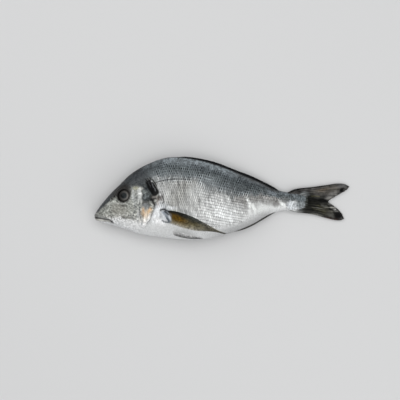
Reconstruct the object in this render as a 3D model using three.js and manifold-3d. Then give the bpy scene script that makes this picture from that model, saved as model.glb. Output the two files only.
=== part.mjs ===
// A whole raw gilt-head bream, lying on its right flank with the left flank up.
// Millimetres. +X runs from snout to tail, +Y from belly to back, +Z up from the surface it lies on.
// The body, its gill covers, lips and all its fins are one solid; each eyeball is its own.

import * as THREE from "three";
import { mergeVertices } from "three/addons/utils/BufferGeometryUtils.js";
import Module from "manifold-3d";

const wasm = await Module();
wasm.setup();

// ---------------------------------------------------------------- driving dimensions

// Lengths along X start at the snout tip; heights in Y start at the line through the tail's root.
const BODY_LENGTH = 230; // snout to the end of the scaled tail root
const TAIL_TIP = 275; // snout to the tip of the upper tail lobe
const MOUTH_HEIGHT = -16.5;

// The body's outline, without the folded fins, as [x, y].
const BACK_LINE = [
  [0, MOUTH_HEIGHT], [0.8, -12.8], [3.2, -8.6], [8, -1.9], [13.5, 4.7], [20, 11.7], [27.4, 18.9],
  [38.2, 29.3], [54.3, 39.3], [75.8, 47.1], [91.9, 48.1], [113.4, 45.2], [134.9, 39.2], [156.4, 30.8],
  [177.9, 21.8], [193, 14.4], [205.9, 10.6], [218, 10.3], [BODY_LENGTH, 9.2],
];
const BELLY_LINE = [
  [0, MOUTH_HEIGHT], [0.8, -18.3], [3.2, -20.1], [8, -22], [13.5, -23.6], [20, -25.3], [27.4, -27.2],
  [38.2, -31], [48.9, -34.6], [70.4, -37.6], [91.9, -40], [108, -40.5], [124.2, -39], [145.7, -33.3],
  [167.2, -25.2], [188.7, -13.2], [199.4, -9.9], [206, -9.3], [218, -10], [BODY_LENGTH, -9.2],
];
// Half of the thickness from flank to flank, and the height where the flanks are widest.
const HALF_THICKNESS = [
  [0, 0], [0.8, 3.2], [3.2, 5.6], [8, 7.8], [13.5, 9.3], [20, 10.8], [27.4, 12.4], [38.2, 14.2], [54.3, 16.4],
  [80, 18.4], [95, 18.6], [113, 18.2], [135, 16.4], [156, 13.4], [178, 9.4], [193, 6.7], [206, 5],
  [218, 3.6], [BODY_LENGTH, 1.5],
];
const WIDEST_HEIGHT = [
  [0, MOUTH_HEIGHT], [3.2, -15.4], [11, -11.5], [27, -5], [54, 0], [90, 3], [135, 3], [180, 1.5],
  [206, 0.7], [BODY_LENGTH, 0],
];
// Height of the spine above the surface: the limp tail sags until its fin lies on the surface.
const SPINE_HEIGHT = [
  [0, 15.2], [30, 15.9], [60, 16.4], [90, 16.9], [113, 16.6], [135, 15], [156, 12.4], [178, 9], [193, 7],
  [206, 5.4], [220, 4], [240, 2.8], [260, 2.1], [TAIL_TIP, 1.7],
];
const FLANK_ROUNDNESS = 2.2; // exponent of the flank's section: 2 is an ellipse
const BACK_EDGE = 0.62; // exponent at the back: 0.5 is round, more is sharper
const BELLY_EDGE = 0.53;
const REST_BLEND = 0.8; // how softly the lower flank turns into its flat resting face

// Gill cover: the rear edge as [y, x], its height over the flank and the slot behind it.
const GILL_EDGE = [
  [-32, 49], [-26, 54.5], [-19, 59.6], [-9, 64], [0, 67], [7, 68.9], [13, 68.4], [19, 65.6], [25, 61.4],
  [31, 57],
];
const GILL_STATION = 65;
const GILL_LOW = [-32, -24]; // the cover fades into the belly between these heights
const GILL_HIGH = [21, 29]; // and into the back between these
const GILL_LIFT = 1.3;
const GILL_LIP = 0.9; // height left at the very edge
const GILL_SWELL = [-14, -1.5]; // where the cover rises, from its rear edge
const GILL_SLOT = 0.9;
const GILL_SLOT_REACH = 2;
// Groove along the rear edge of the cheek, which bows forward at its ends.
const CHEEK = { x: 49.5, y: -4, bow: 0.012, depth: 0.5, width: 1.6, reach: 17 };

// Mouth: a closed slit that runs back and down from the snout, between two thick lips.
const MOUTH_LENGTH = 17.5;
const MOUTH_DROP = 3.2;
const UPPER_LIP = { radius: 2.1, offset: 1.95, front: 1.9 };
const LOWER_LIP = { radius: 1.8, offset: -1.65, front: 2.5 };
const LIP_SUNK_SHARE = 0.35; // share of its radius that a lip's middle line lies under the flank
const LIP_PINCH = 0.45; // how far the lips close in on each other at the corner of the mouth
const LIP_FRONT_STATION = 4; // the lips keep the shape they have here round the tip of the snout
const LIP_END_SHARE = 0.35; // share of its radius that is left at the corner of the mouth

// Each eye is a flattened ball, sunk into a socket with a raised rim of skin.
const EYE = { x: 31.6, y: 6.8, radius: 7.2, depth: 4.6, sunk: 3.1 };
const EYE_GAP = 0.3;
const EYE_RIM = { radius: 7.7, thickness: 0.9, sunk: 0.35 };

// Plans of the fins between their first and last ray, root and margin, as [x, y].
const TAIL_FIN = {
  first: [
    [206.5, 9.6], [214, 13.2], [221, 14.8], [232, 15.9], [248, 18], [262, 19.7], [270, 19.3],
    [TAIL_TIP, 16.8],
  ],
  last: [
    [206.5, -8.6], [215, -11.2], [226.5, -12.2], [237, -13.9], [249, -17.2], [259.5, -19.5], [266, -19.8],
    [270, -18.2],
  ],
  root: [[206.5, 9.6], [217, 5], [219, 0], [217, -5], [206.5, -8.6]],
  margin: [[TAIL_TIP, 16.8], [265.5, 9.4], [256, 3.6], [251.6, 0], [256.5, -3.8], [263, -10], [270, -18.2]],
};
const PECTORAL_FIN = {
  first: [[72.5, -8.6], [87, -10.2], [103.4, -15.4], [119.9, -23.1], [133, -30.4], [141.8, -34.1]],
  last: [[79.5, -22.4], [88, -24.8], [97, -27.8], [110, -30.6], [128, -32.2], [141, -34.8]],
  root: [[72.5, -8.6], [74.5, -15.5], [79.5, -22.4]],
  margin: [[141.8, -34.1], [141.6, -34.5], [141, -34.8]],
};
const PELVIC_FIN = {
  first: [[83.5, -30.6], [98, -34.2], [110, -37.9], [117.5, -40]],
  last: [[84.5, -35], [95, -37.2], [107, -39.6], [116.8, -40.6]],
  root: [[83.5, -30.6], [83.2, -33], [84.5, -35]],
  margin: [[117.5, -40], [117.3, -40.3], [116.8, -40.6]],
};
// Outer edges of the two fins that lie folded along the back and behind the vent.
const DORSAL_FIN_EDGE = [
  [86, 47.6], [97, 48.6], [113.4, 46.6], [124.2, 44.2], [134.9, 41.1], [140.5, 38.8], [156.4, 32.6],
  [167.2, 28.6], [177.9, 23.7], [188.7, 18.3], [195, 14.8], [198.5, 12.2],
];
const ANAL_FIN_EDGE = [
  [148, -32.3], [156.4, -30.9], [167.2, -26.9], [177.9, -21.1], [188.7, -14.7], [196, -10.4],
];

// Half of the tail fin's thickness at its root and margin, and its rays.
const TAIL_ROOT_HALF = 2.2;
const TAIL_MARGIN_HALF = 0.5;
const TAIL_RAYS = 14;
const TAIL_RAY_HEIGHT = 0.6;
const TAIL_RAY_START = 0.3; // share of the fin's length over which the rays rise
const TAIL_BORDER = { width: 0.06, share: 0.55 }; // the outermost rays thin out to this share
const TAIL_CLEARANCE = 0.2; // between the tail and the surface

// How far the fins folded against the flanks stand out.
const PECTORAL_LIFT = 1.9;
const PELVIC_LIFT = 1.5;
const FIN_TIP_LIFT = 0.7;
const FIN_BORDER = { width: 0.15, share: 0.5 };
const FIN_ROOT_DEPTH = 2.5;
const FIN_CLEARANCE = 0.3; // between the lower flank's fins and the surface
const FIN_LEAST_THICKNESS = 0.4;
const OUTLINE_MARGIN = 0.6; // a fin stops this far inside the belly's outline, where the flank turns under

const FOLDED_FIN_ROOT_DEPTH = 3;
const FOLDED_FIN_ROOT_HALF = 1.6;
const FOLDED_FIN_EDGE_HALF = 0.6;

// Mesh density.
const HEAD_RINGS = 22;
const HEAD_RING_CROWDING = 1.6; // more than 1 crowds the rings towards the snout
const GILL_RINGS = [-2.6, -0.9, -0.1, 0.7, 2.6, 6];
const GILL_BEND_REACH = 24;
const REAR_RINGS = 24;
const RING_POINTS = 44;
const LIP_STEPS = 26;
const LIP_SIDES = 9;
const EYE_SIDES = 22;
const EYE_RINGS = 12;
const RIM_SIDES = 6;
const RIM_STEPS = 28;

// ---------------------------------------------------------------- curves

const clamp01 = (t) => Math.min(1, Math.max(0, t));
const smoothStep = (low, high, value) => {
  const t = clamp01((value - low) / (high - low));
  return t * t * (3 - 2 * t);
};
const bell = (distance, width) => Math.exp(-((distance / width) ** 2));

/** A smooth function through [position, value] pairs. With warp Math.sqrt it starts as bluntly as a snout. */
function curveThrough(points, warp = (x) => x) {
  const at = points.map(([x]) => warp(x));
  const value = points.map(([, y]) => y);
  const last = at.length - 1;
  const slope = at.map((_, i) => {
    const before = Math.max(0, i - 1);
    const after = Math.min(last, i + 1);
    return (value[after] - value[before]) / (at[after] - at[before]);
  });
  return (x) => {
    const u = Math.min(at[last], Math.max(at[0], warp(Math.max(x, points[0][0]))));
    let i = 0;
    while (i < last - 1 && u > at[i + 1]) i += 1;
    const span = at[i + 1] - at[i];
    const t = (u - at[i]) / span;
    const s = 1 - t;
    return (
      value[i] * (1 + 2 * t) * s * s + slope[i] * span * t * s * s +
      value[i + 1] * t * t * (3 - 2 * t) - slope[i + 1] * span * t * t * s
    );
  };
}

const backAt = curveThrough(BACK_LINE, Math.sqrt);
const bellyAt = curveThrough(BELLY_LINE, Math.sqrt);
const halfThicknessAt = curveThrough(HALF_THICKNESS, Math.sqrt);
const widestAt = curveThrough(WIDEST_HEIGHT);
const spineAt = curveThrough(SPINE_HEIGHT);
const gillEdgeAt = curveThrough(GILL_EDGE);

// ---------------------------------------------------------------- the flanks

/** Share of the half thickness left at a share t of the way from the widest height to the outline. */
const flankShare = (t, edge) => (1 - clamp01(t) ** FLANK_ROUNDNESS) ** edge;

/** Heights below the surface turn into the flat face that the fish rests on. */
function restOn(z) {
  if (z > REST_BLEND) return z;
  if (z < -REST_BLEND) return 0;
  return (z + REST_BLEND) ** 2 / (4 * REST_BLEND);
}

/** Height of the plain flank over (x, y); side is 1 for the upper flank and -1 for the lower one. */
function flankHeight(x, y, side) {
  const widest = widestAt(x);
  const above = y > widest;
  const reach = above ? backAt(x) - widest : widest - bellyAt(x);
  const share = flankShare(Math.abs(y - widest) / Math.max(reach, 1e-6), above ? BACK_EDGE : BELLY_EDGE);
  const z = spineAt(x) + side * halfThicknessAt(x) * share;
  return side > 0 ? z : restOn(z);
}

/** A point of the plain body. Angle 0 is on the upper flank, a quarter turn on the back, a half turn under. */
function bodyPoint(x, angle) {
  const up = Math.sin(angle);
  const widest = widestAt(x);
  const edge = up > 0 ? BACK_EDGE : BELLY_EDGE;
  const reach = up > 0 ? backAt(x) - widest : widest - bellyAt(x);
  const side = Math.cos(angle) >= 0 ? 1 : -1;
  const z = spineAt(x) + side * halfThicknessAt(x) * flankShare(Math.abs(up), edge);
  return new THREE.Vector3(x, widest + up * reach, z);
}

/** Relief of the head over the plain body at (x, y), the same on both flanks. */
function headRelief(x, y) {
  const onGill = smoothStep(...GILL_LOW, y) * (1 - smoothStep(...GILL_HIGH, y));
  const pastEdge = x - gillEdgeAt(y);
  const swell = GILL_LIFT * smoothStep(...GILL_SWELL, pastEdge);
  const droop = (GILL_LIFT - GILL_LIP) * smoothStep(GILL_SWELL[1], 0, pastEdge);
  const cover = pastEdge < 0 ? swell - droop : -GILL_SLOT * Math.exp(-pastEdge / GILL_SLOT_REACH);
  const pastCheek = x - CHEEK.x + CHEEK.bow * (y - CHEEK.y) ** 2;
  return cover * onGill - CHEEK.depth * bell(pastCheek, CHEEK.width) * bell(y - CHEEK.y, CHEEK.reach);
}

/** A point of the finished body: the plain point moved out along its normal by the head's relief. */
function finishedPoint(x, angle) {
  const point = bodyPoint(x, angle);
  const step = 0.02;
  const alongX = bodyPoint(x + step, angle).sub(bodyPoint(Math.max(0, x - step), angle));
  const around = bodyPoint(x, angle + step).sub(bodyPoint(x, angle - step));
  const normal = alongX.cross(around).negate().normalize();
  if (x < 1e-6) normal.set(-1, 0, 0);
  point.addScaledVector(normal, headRelief(point.x, point.y));
  if (Math.cos(angle) < 0) point.z = restOn(point.z);
  return point;
}

/** X of each ring: dense at the snout and round the gill cover's rear edge. */
function ringStations() {
  const front = GILL_STATION + GILL_RINGS[0];
  const stations = [];
  for (let i = 1; i <= HEAD_RINGS; i += 1) {
    stations.push(front * (i / (HEAD_RINGS + 1)) ** HEAD_RING_CROWDING);
  }
  for (const offset of GILL_RINGS) stations.push(GILL_STATION + offset);
  const back = GILL_STATION + GILL_RINGS.at(-1);
  for (let i = 1; i <= REAR_RINGS; i += 1) {
    stations.push(back + (BODY_LENGTH - back) * (i / REAR_RINGS));
  }
  return stations;
}

/** Bends a ring near the gill cover so that it runs along the cover's rear edge. */
function bentStation(station, angle) {
  const edgeY = bodyPoint(GILL_STATION, angle).y;
  const share = 1 - smoothStep(0, GILL_BEND_REACH, Math.abs(station - GILL_STATION));
  return station + (gillEdgeAt(edgeY) - GILL_STATION) * share;
}

function bodyGeometry() {
  const stations = ringStations();
  const points = finishedPoint(0, 0).toArray();
  for (const station of stations) {
    for (let j = 0; j < RING_POINTS; j += 1) {
      const angle = (2 * Math.PI * j) / RING_POINTS;
      points.push(...finishedPoint(bentStation(station, angle), angle).toArray());
    }
  }
  points.push(BODY_LENGTH, widestAt(BODY_LENGTH), spineAt(BODY_LENGTH));
  return indexedGeometry(points, ringFaces(stations.length, RING_POINTS));
}

/** Faces of a closed skin over rings of points, with a point before the first ring and one after the last. */
function ringFaces(rings, sides) {
  const faces = [];
  const vertex = (ring, j) => 1 + ring * sides + (j % sides);
  const end = 1 + rings * sides;
  for (let j = 0; j < sides; j += 1) {
    faces.push(0, vertex(0, j), vertex(0, j + 1));
    for (let ring = 0; ring < rings - 1; ring += 1) {
      const corners = [vertex(ring, j), vertex(ring + 1, j), vertex(ring + 1, j + 1), vertex(ring, j + 1)];
      faces.push(corners[0], corners[1], corners[2], corners[0], corners[2], corners[3]);
    }
    faces.push(end, vertex(rings - 1, j + 1), vertex(rings - 1, j));
  }
  return faces;
}

// ---------------------------------------------------------------- solids

function indexedGeometry(points, faces) {
  const geometry = new THREE.BufferGeometry();
  geometry.setAttribute("position", new THREE.Float32BufferAttribute(points, 3));
  geometry.setIndex(faces);
  return geometry;
}

/** The closed geometry as a manifold-3d solid, turned inside out where its faces point in. */
function solidOf(geometry) {
  const bare = geometry.clone();
  bare.deleteAttribute("normal");
  bare.deleteAttribute("uv");
  const merged = mergeVertices(bare, 1e-4);
  const made = (triVerts) => new wasm.Manifold(
    new wasm.Mesh({ numProp: 3, vertProperties: merged.attributes.position.array, triVerts }),
  );
  const faces = new Uint32Array(merged.index.array);
  const solid = made(faces);
  if (solid.volume() > 0) return solid;
  return made(faces.reverse());
}

function geometryOf(solid) {
  const mesh = solid.getMesh();
  const points = [];
  for (let i = 0; i < mesh.numVert; i += 1) {
    points.push(...mesh.vertProperties.subarray(i * mesh.numProp, i * mesh.numProp + 3));
  }
  const geometry = indexedGeometry(points, Array.from(mesh.triVerts));
  geometry.computeVertexNormals();
  return geometry;
}

// ---------------------------------------------------------------- fins

/** A smooth line through [x, y] points, read at t from 0 to 1. */
function lineThrough(points) {
  const knots = points.map(([x, y]) => new THREE.Vector3(x, y, 0));
  const line = new THREE.CatmullRomCurve3(knots, false, "centripetal");
  return (t) => line.getPoint(t);
}

/**
 * A fin's plan between its four edges, as a function of a and r: its rays run from the root (r 0) to the
 * margin (r 1) and lie side by side from the first (a 0) to the last (a 1).
 */
function finPlan({ first, last, root, margin }) {
  const [firstRay, lastRay, rootLine, marginLine] = [first, last, root, margin].map(lineThrough);
  const [rootStart, rootEnd] = [rootLine(0), rootLine(1)];
  const [marginStart, marginEnd] = [marginLine(0), marginLine(1)];
  return (a, r) => {
    const point = firstRay(r).multiplyScalar(1 - a).addScaledVector(lastRay(r), a);
    point.addScaledVector(rootLine(a), 1 - r).addScaledVector(marginLine(a), r);
    point.addScaledVector(rootStart, -(1 - a) * (1 - r)).addScaledVector(rootEnd, -a * (1 - r));
    return point.addScaledVector(marginStart, -(1 - a) * r).addScaledVector(marginEnd, -a * r);
  };
}

/** A closed sheet over a plan; faces(a, r, point) gives its upper and lower heights. */
function sheetSolid(plan, across, along, faces) {
  const upper = [];
  const lower = [];
  for (let i = 0; i <= across; i += 1) {
    for (let j = 0; j <= along; j += 1) {
      const point = plan(i / across, j / along);
      const [high, low] = faces(i / across, j / along, point);
      upper.push(point.x, point.y, high);
      lower.push(point.x, point.y, low);
    }
  }
  const count = upper.length / 3;
  const at = (i, j) => i * (along + 1) + j;
  const index = [];
  const quad = (a, b, c, d) => index.push(a, b, c, a, c, d);
  for (let i = 0; i < across; i += 1) {
    for (let j = 0; j < along; j += 1) {
      const corners = [at(i, j), at(i + 1, j), at(i + 1, j + 1), at(i, j + 1)];
      quad(...corners);
      quad(...corners.map((k) => k + count).reverse());
    }
  }
  const wall = (a, b) => quad(b, a, a + count, b + count);
  for (let j = 0; j < along; j += 1) {
    wall(at(0, j + 1), at(0, j));
    wall(at(across, j), at(across, j + 1));
  }
  for (let i = 0; i < across; i += 1) {
    wall(at(i, 0), at(i + 1, 0));
    wall(at(i + 1, along), at(i, along));
  }
  return solidOf(indexedGeometry([...upper, ...lower], index));
}

/** Share of a fin's thickness across its rays: all of it but at the first and last. */
function borderShare(a, { width, share }) {
  return share + (1 - share) * smoothStep(0, width, Math.min(a, 1 - a));
}

function tailFin() {
  return sheetSolid(finPlan(TAIL_FIN), 2 * TAIL_RAYS, 11, (a, r, point) => {
    const wave = (1 + Math.cos(2 * Math.PI * TAIL_RAYS * a)) / 2;
    const ray = TAIL_RAY_HEIGHT * wave * smoothStep(0, TAIL_RAY_START, r);
    const sheet = TAIL_MARGIN_HALF + (TAIL_ROOT_HALF - TAIL_MARGIN_HALF) * (1 - r) ** 2;
    const half = (sheet + ray) * borderShare(a, TAIL_BORDER);
    const middle = Math.max(spineAt(point.x), half + TAIL_CLEARANCE);
    return [middle + half, middle - half];
  });
}

/** A fin folded back against a flank, fused to it all along. */
function flankFin(edges, lift, across, along, side) {
  return sheetSolid(finPlan(edges), across, along, (a, r, point) => {
    const y = Math.max(point.y, bellyAt(point.x) + OUTLINE_MARGIN);
    const flank = flankHeight(point.x, y, side);
    const proud = (lift + (FIN_TIP_LIFT - lift) * r) * borderShare(a, FIN_BORDER);
    const inner = flank - side * FIN_ROOT_DEPTH;
    if (side > 0) return [flank + proud, inner];
    return [inner, Math.min(Math.max(flank - proud, FIN_CLEARANCE), inner - FIN_LEAST_THICKNESS)];
  });
}

/** A fin folded into the body's midline, from inside the body out to its edge. */
function midlineFin(edge, outlineAt, inward, along) {
  const edgeAt = curveThrough(edge);
  const [start, end] = [edge[0][0], edge.at(-1)[0]];
  const plan = (a, r) => {
    const x = start + (end - start) * r;
    const outer = edgeAt(x);
    const inner = outlineAt(x) + inward * FOLDED_FIN_ROOT_DEPTH;
    return new THREE.Vector3(x, outer + (inner - outer) * a, 0);
  };
  return sheetSolid(plan, 3, along, (a, r, point) => {
    const half = FOLDED_FIN_EDGE_HALF + (FOLDED_FIN_ROOT_HALF - FOLDED_FIN_EDGE_HALF) * Math.sqrt(a);
    const middle = spineAt(point.x);
    return [middle + half, middle - half];
  });
}

// ---------------------------------------------------------------- lips

/** The middle line of a lip, from the corner of the mouth on one flank round the snout to the other. */
class LipLine extends THREE.Curve {
  constructor({ radius, offset, front }) {
    super();
    this.offset = offset;
    this.front = front;
    this.sunk = radius * LIP_SUNK_SHARE;
  }

  getPoint(t, target = new THREE.Vector3()) {
    const way = 2 * t - 1;
    const back = MOUTH_LENGTH * way ** 2;
    const y = MOUTH_HEIGHT - MOUTH_DROP * way ** 2 + this.offset * (1 - LIP_PINCH * way ** 4);
    const widthAt = Math.max(back, LIP_FRONT_STATION);
    const share = (flankHeight(widthAt, y, 1) - spineAt(widthAt)) / halfThicknessAt(widthAt);
    const out = Math.max(0, halfThicknessAt(back) * share - this.sunk * Math.abs(way));
    const x = this.front + (1 - this.front / MOUTH_LENGTH) * back;
    return target.set(x, y, spineAt(back) + Math.sign(way) * out);
  }
}

/** A round tube along the lip's middle line, closed at its ends and thinner towards the mouth's corners. */
function lipSolid(lip) {
  const line = new LipLine(lip);
  const { normals, binormals } = line.computeFrenetFrames(LIP_STEPS);
  const points = line.getPointAt(0).toArray();
  for (let i = 0; i <= LIP_STEPS; i += 1) {
    const fullness = 1 - ((2 * i) / LIP_STEPS - 1) ** 4;
    const radius = lip.radius * (LIP_END_SHARE + (1 - LIP_END_SHARE) * fullness);
    for (let j = 0; j < LIP_SIDES; j += 1) {
      const angle = (2 * Math.PI * j) / LIP_SIDES;
      const point = line.getPointAt(i / LIP_STEPS);
      point.addScaledVector(normals[i], radius * Math.cos(angle));
      points.push(...point.addScaledVector(binormals[i], radius * Math.sin(angle)).toArray());
    }
  }
  points.push(...line.getPointAt(1).toArray());
  return solidOf(indexedGeometry(points, ringFaces(LIP_STEPS + 1, LIP_SIDES)));
}

// ---------------------------------------------------------------- eyes

/** Place at the eye's middle on a flank, sunk into it, with +Z along the flank's outward normal. */
function flankPlace(side, sunk, size = new THREE.Vector3(1, 1, 1)) {
  const step = 0.5;
  const heightAt = (x, y) => flankHeight(x, y, 1) - spineAt(EYE.x);
  const slopeX = (heightAt(EYE.x + step, EYE.y) - heightAt(EYE.x - step, EYE.y)) / (2 * step);
  const slopeY = (heightAt(EYE.x, EYE.y + step) - heightAt(EYE.x, EYE.y - step)) / (2 * step);
  const normal = new THREE.Vector3(-slopeX, -slopeY, 1).normalize();
  const centre = new THREE.Vector3(EYE.x, EYE.y, heightAt(EYE.x, EYE.y)).addScaledVector(normal, -sunk);
  normal.z *= side;
  centre.z = spineAt(EYE.x) + side * centre.z;
  const turn = new THREE.Quaternion().setFromUnitVectors(new THREE.Vector3(0, 0, 1), normal);
  return new THREE.Matrix4().compose(centre, turn, size);
}

function eyeball(side, grown = 0) {
  const size = new THREE.Vector3(EYE.radius, EYE.radius, EYE.depth).addScalar(grown);
  const ball = new THREE.SphereGeometry(1, EYE_SIDES, EYE_RINGS);
  return solidOf(ball.applyMatrix4(flankPlace(side, EYE.sunk, size)));
}

function eyeRim(side) {
  const ring = new THREE.TorusGeometry(EYE_RIM.radius, EYE_RIM.thickness, RIM_SIDES, RIM_STEPS);
  return solidOf(ring.applyMatrix4(flankPlace(side, EYE_RIM.sunk)));
}

// ---------------------------------------------------------------- the fish

const skin = new THREE.MeshStandardMaterial({ color: 0x9ea2a3, roughness: 0.35, metalness: 0.35 });
const cornea = new THREE.MeshStandardMaterial({ color: 0x1c2426, roughness: 0.12, metalness: 0 });

function fishSolid() {
  let fish = solidOf(bodyGeometry());
  fish = fish.add(tailFin());
  fish = fish.add(midlineFin(DORSAL_FIN_EDGE, backAt, -1, 26));
  fish = fish.add(midlineFin(ANAL_FIN_EDGE, bellyAt, 1, 12));
  for (const lip of [UPPER_LIP, LOWER_LIP]) fish = fish.add(lipSolid(lip));
  for (const side of [1, -1]) {
    fish = fish.add(flankFin(PECTORAL_FIN, PECTORAL_LIFT, 8, 14, side));
    fish = fish.add(flankFin(PELVIC_FIN, PELVIC_LIFT, 4, 8, side));
    fish = fish.add(eyeRim(side)).subtract(eyeball(side, EYE_GAP));
  }
  return fish;
}

function namedMesh(name, solid, material) {
  const mesh = new THREE.Mesh(geometryOf(solid), material);
  mesh.name = name;
  return mesh;
}

const bream = new THREE.Group();
const fish = namedMesh("fish", fishSolid(), skin);
bream.add(fish);
bream.add(namedMesh("eye_left", eyeball(1), cornea));
bream.add(namedMesh("eye_right", eyeball(-1), cornea));

// The origin is the middle of the bounding box's underside.
fish.geometry.computeBoundingBox();
const bounds = fish.geometry.boundingBox;
bream.position.set(-(bounds.min.x + bounds.max.x) / 2, -(bounds.min.y + bounds.max.y) / 2, -bounds.min.z);

export default bream;
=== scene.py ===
"""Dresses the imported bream: scaled skin, lips, wet eyes and rayed fins, on a pale floor in soft light.

Sizes are real ones in millimetres. Lengths along X start at the snout's tip and heights in Y at the line
through the tail's root, as in the part's source; place() turns them into the frame's metres.
"""

import math

import bmesh
import bpy
import numpy as np
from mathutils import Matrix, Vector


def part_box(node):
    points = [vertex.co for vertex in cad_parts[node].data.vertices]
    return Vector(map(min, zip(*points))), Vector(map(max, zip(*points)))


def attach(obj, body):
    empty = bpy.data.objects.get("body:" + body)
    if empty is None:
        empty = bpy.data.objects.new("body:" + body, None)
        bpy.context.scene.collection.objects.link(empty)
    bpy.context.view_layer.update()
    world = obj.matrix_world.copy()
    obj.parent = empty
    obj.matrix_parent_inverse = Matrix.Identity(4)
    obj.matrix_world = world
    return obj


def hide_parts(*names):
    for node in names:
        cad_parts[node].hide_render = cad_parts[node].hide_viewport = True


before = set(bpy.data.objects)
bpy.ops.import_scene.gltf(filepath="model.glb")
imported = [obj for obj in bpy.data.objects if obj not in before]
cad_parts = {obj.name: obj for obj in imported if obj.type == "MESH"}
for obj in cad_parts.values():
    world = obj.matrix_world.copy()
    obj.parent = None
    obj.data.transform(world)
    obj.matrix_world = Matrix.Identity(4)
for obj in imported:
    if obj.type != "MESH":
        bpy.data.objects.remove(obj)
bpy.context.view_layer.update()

# ---- the fish's dimensions

MM = 0.001
BODY_LENGTH = 230.0
TAIL_TIP = 275.0
MOUTH_HEIGHT = -16.5

BACK_LINE = [
    (0, MOUTH_HEIGHT), (0.8, -12.8), (3.2, -8.6), (8, -1.9), (13.5, 4.7), (20, 11.7), (27.4, 18.9),
    (38.2, 29.3), (54.3, 39.3), (75.8, 47.1), (91.9, 48.1), (113.4, 45.2), (134.9, 39.2), (156.4, 30.8),
    (177.9, 21.8), (193, 14.4), (205.9, 10.6), (218, 10.3), (BODY_LENGTH, 9.2),
]
BELLY_LINE = [
    (0, MOUTH_HEIGHT), (0.8, -18.3), (3.2, -20.1), (8, -22), (13.5, -23.6), (20, -25.3), (27.4, -27.2),
    (38.2, -31), (48.9, -34.6), (70.4, -37.6), (91.9, -40), (108, -40.5), (124.2, -39), (145.7, -33.3),
    (167.2, -25.2), (188.7, -13.2), (199.4, -9.9), (206, -9.3), (218, -10), (BODY_LENGTH, -9.2),
]
HALF_THICKNESS = [
    (0, 0), (0.8, 3.2), (3.2, 5.6), (8, 7.8), (13.5, 9.3), (20, 10.8), (27.4, 12.4), (38.2, 14.2),
    (54.3, 16.4), (80, 18.4), (95, 18.6), (113, 18.2), (135, 16.4), (156, 13.4), (178, 9.4), (193, 6.7),
    (206, 5), (218, 3.6), (BODY_LENGTH, 1.5),
]
WIDEST_HEIGHT = [
    (0, MOUTH_HEIGHT), (3.2, -15.4), (11, -11.5), (27, -5), (54, 0), (90, 3), (135, 3), (180, 1.5),
    (206, 0.7), (BODY_LENGTH, 0),
]
SPINE_HEIGHT = [
    (0, 15.2), (30, 15.9), (60, 16.4), (90, 16.9), (113, 16.6), (135, 15), (156, 12.4), (178, 9), (193, 7),
    (206, 5.4), (220, 4), (240, 2.8), (260, 2.1), (TAIL_TIP, 1.7),
]
FLANK_ROUNDNESS = 2.2
BACK_EDGE = 0.62
BELLY_EDGE = 0.53
REST_BLEND = 0.8

GILL_EDGE = [
    (-32, 49), (-26, 54.5), (-19, 59.6), (-9, 64), (0, 67), (7, 68.9), (13, 68.4), (19, 65.6), (25, 61.4),
    (31, 57),
]
GILL_STATION = 65.0
GILL_LOW = (-32, -24)
GILL_HIGH = (21, 29)
GILL_LIFT = 1.3
GILL_LIP = 0.9
GILL_SWELL = (-14, -1.5)
GILL_SLOT = 1.2
GILL_SLOT_REACH = 1.6
GILL_BEND_REACH = 24.0

EYE = {"x": 31.6, "y": 6.8, "radius": 7.2, "depth": 4.6, "sunk": 3.1}
EYE_RIM = {"radius": 7.6, "thickness": 0.9, "sunk": 0.4}
NOSTRILS = [((18.8, 3.4), (0.9, 0.75)), ((21.4, 6.0), (0.8, 1.3))]
NOSTRIL_TURN = -30
MOUTH_LINE = [(0, -16.5), (6, -17.3), (12, -18.8), (17.5, -20.6), (19.5, -22)]
LATERAL_LINE = [
    (56, 16), (64.7, 20), (71.8, 22.3), (80, 23.8), (92, 24.2), (113, 22.3), (135, 17.6), (156, 12),
    (178, 7.2), (193, 4.4), (206, 3), (BODY_LENGTH, 1),
]

DORSAL_FIN_EDGE = [
    (86, 47.6), (97, 48.6), (113.4, 46.6), (124.2, 44.2), (134.9, 41.1), (140.5, 38.8), (156.4, 32.6),
    (167.2, 28.6), (177.9, 23.7), (188.7, 18.3), (195, 14.8), (198.5, 12.2),
]
ANAL_FIN_EDGE = [
    (148, -32.3), (156.4, -30.9), (167.2, -26.9), (177.9, -21.1), (188.7, -14.7), (196, -10.4),
]
# A fin spreads from its root to its margin, between its first edge and its last.
TAIL_FIN = {
    "first": [(206.5, 9.6), (214, 13.2), (221, 14.8), (232, 15.9), (248, 18), (262, 19.9), (270, 19.2),
              (TAIL_TIP, 16.6)],
    "last": [(206.5, -8.6), (215, -11.2), (226.5, -12.2), (237, -13.9), (249, -17.2), (259.5, -19.6),
             (265.5, -19.8), (269.4, -18.2)],
    "root": [(206.5, 9.6), (217, 5), (219, 0), (217, -5), (206.5, -8.6)],
    "margin": [(TAIL_TIP, 16.6), (273, 13.6), (268, 10.2), (258, 4.5), (252, 0), (257.3, -3.2), (264, -9),
               (267.9, -13.9), (269.4, -18.2)],
    "grid": (90, 200),
}
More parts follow.
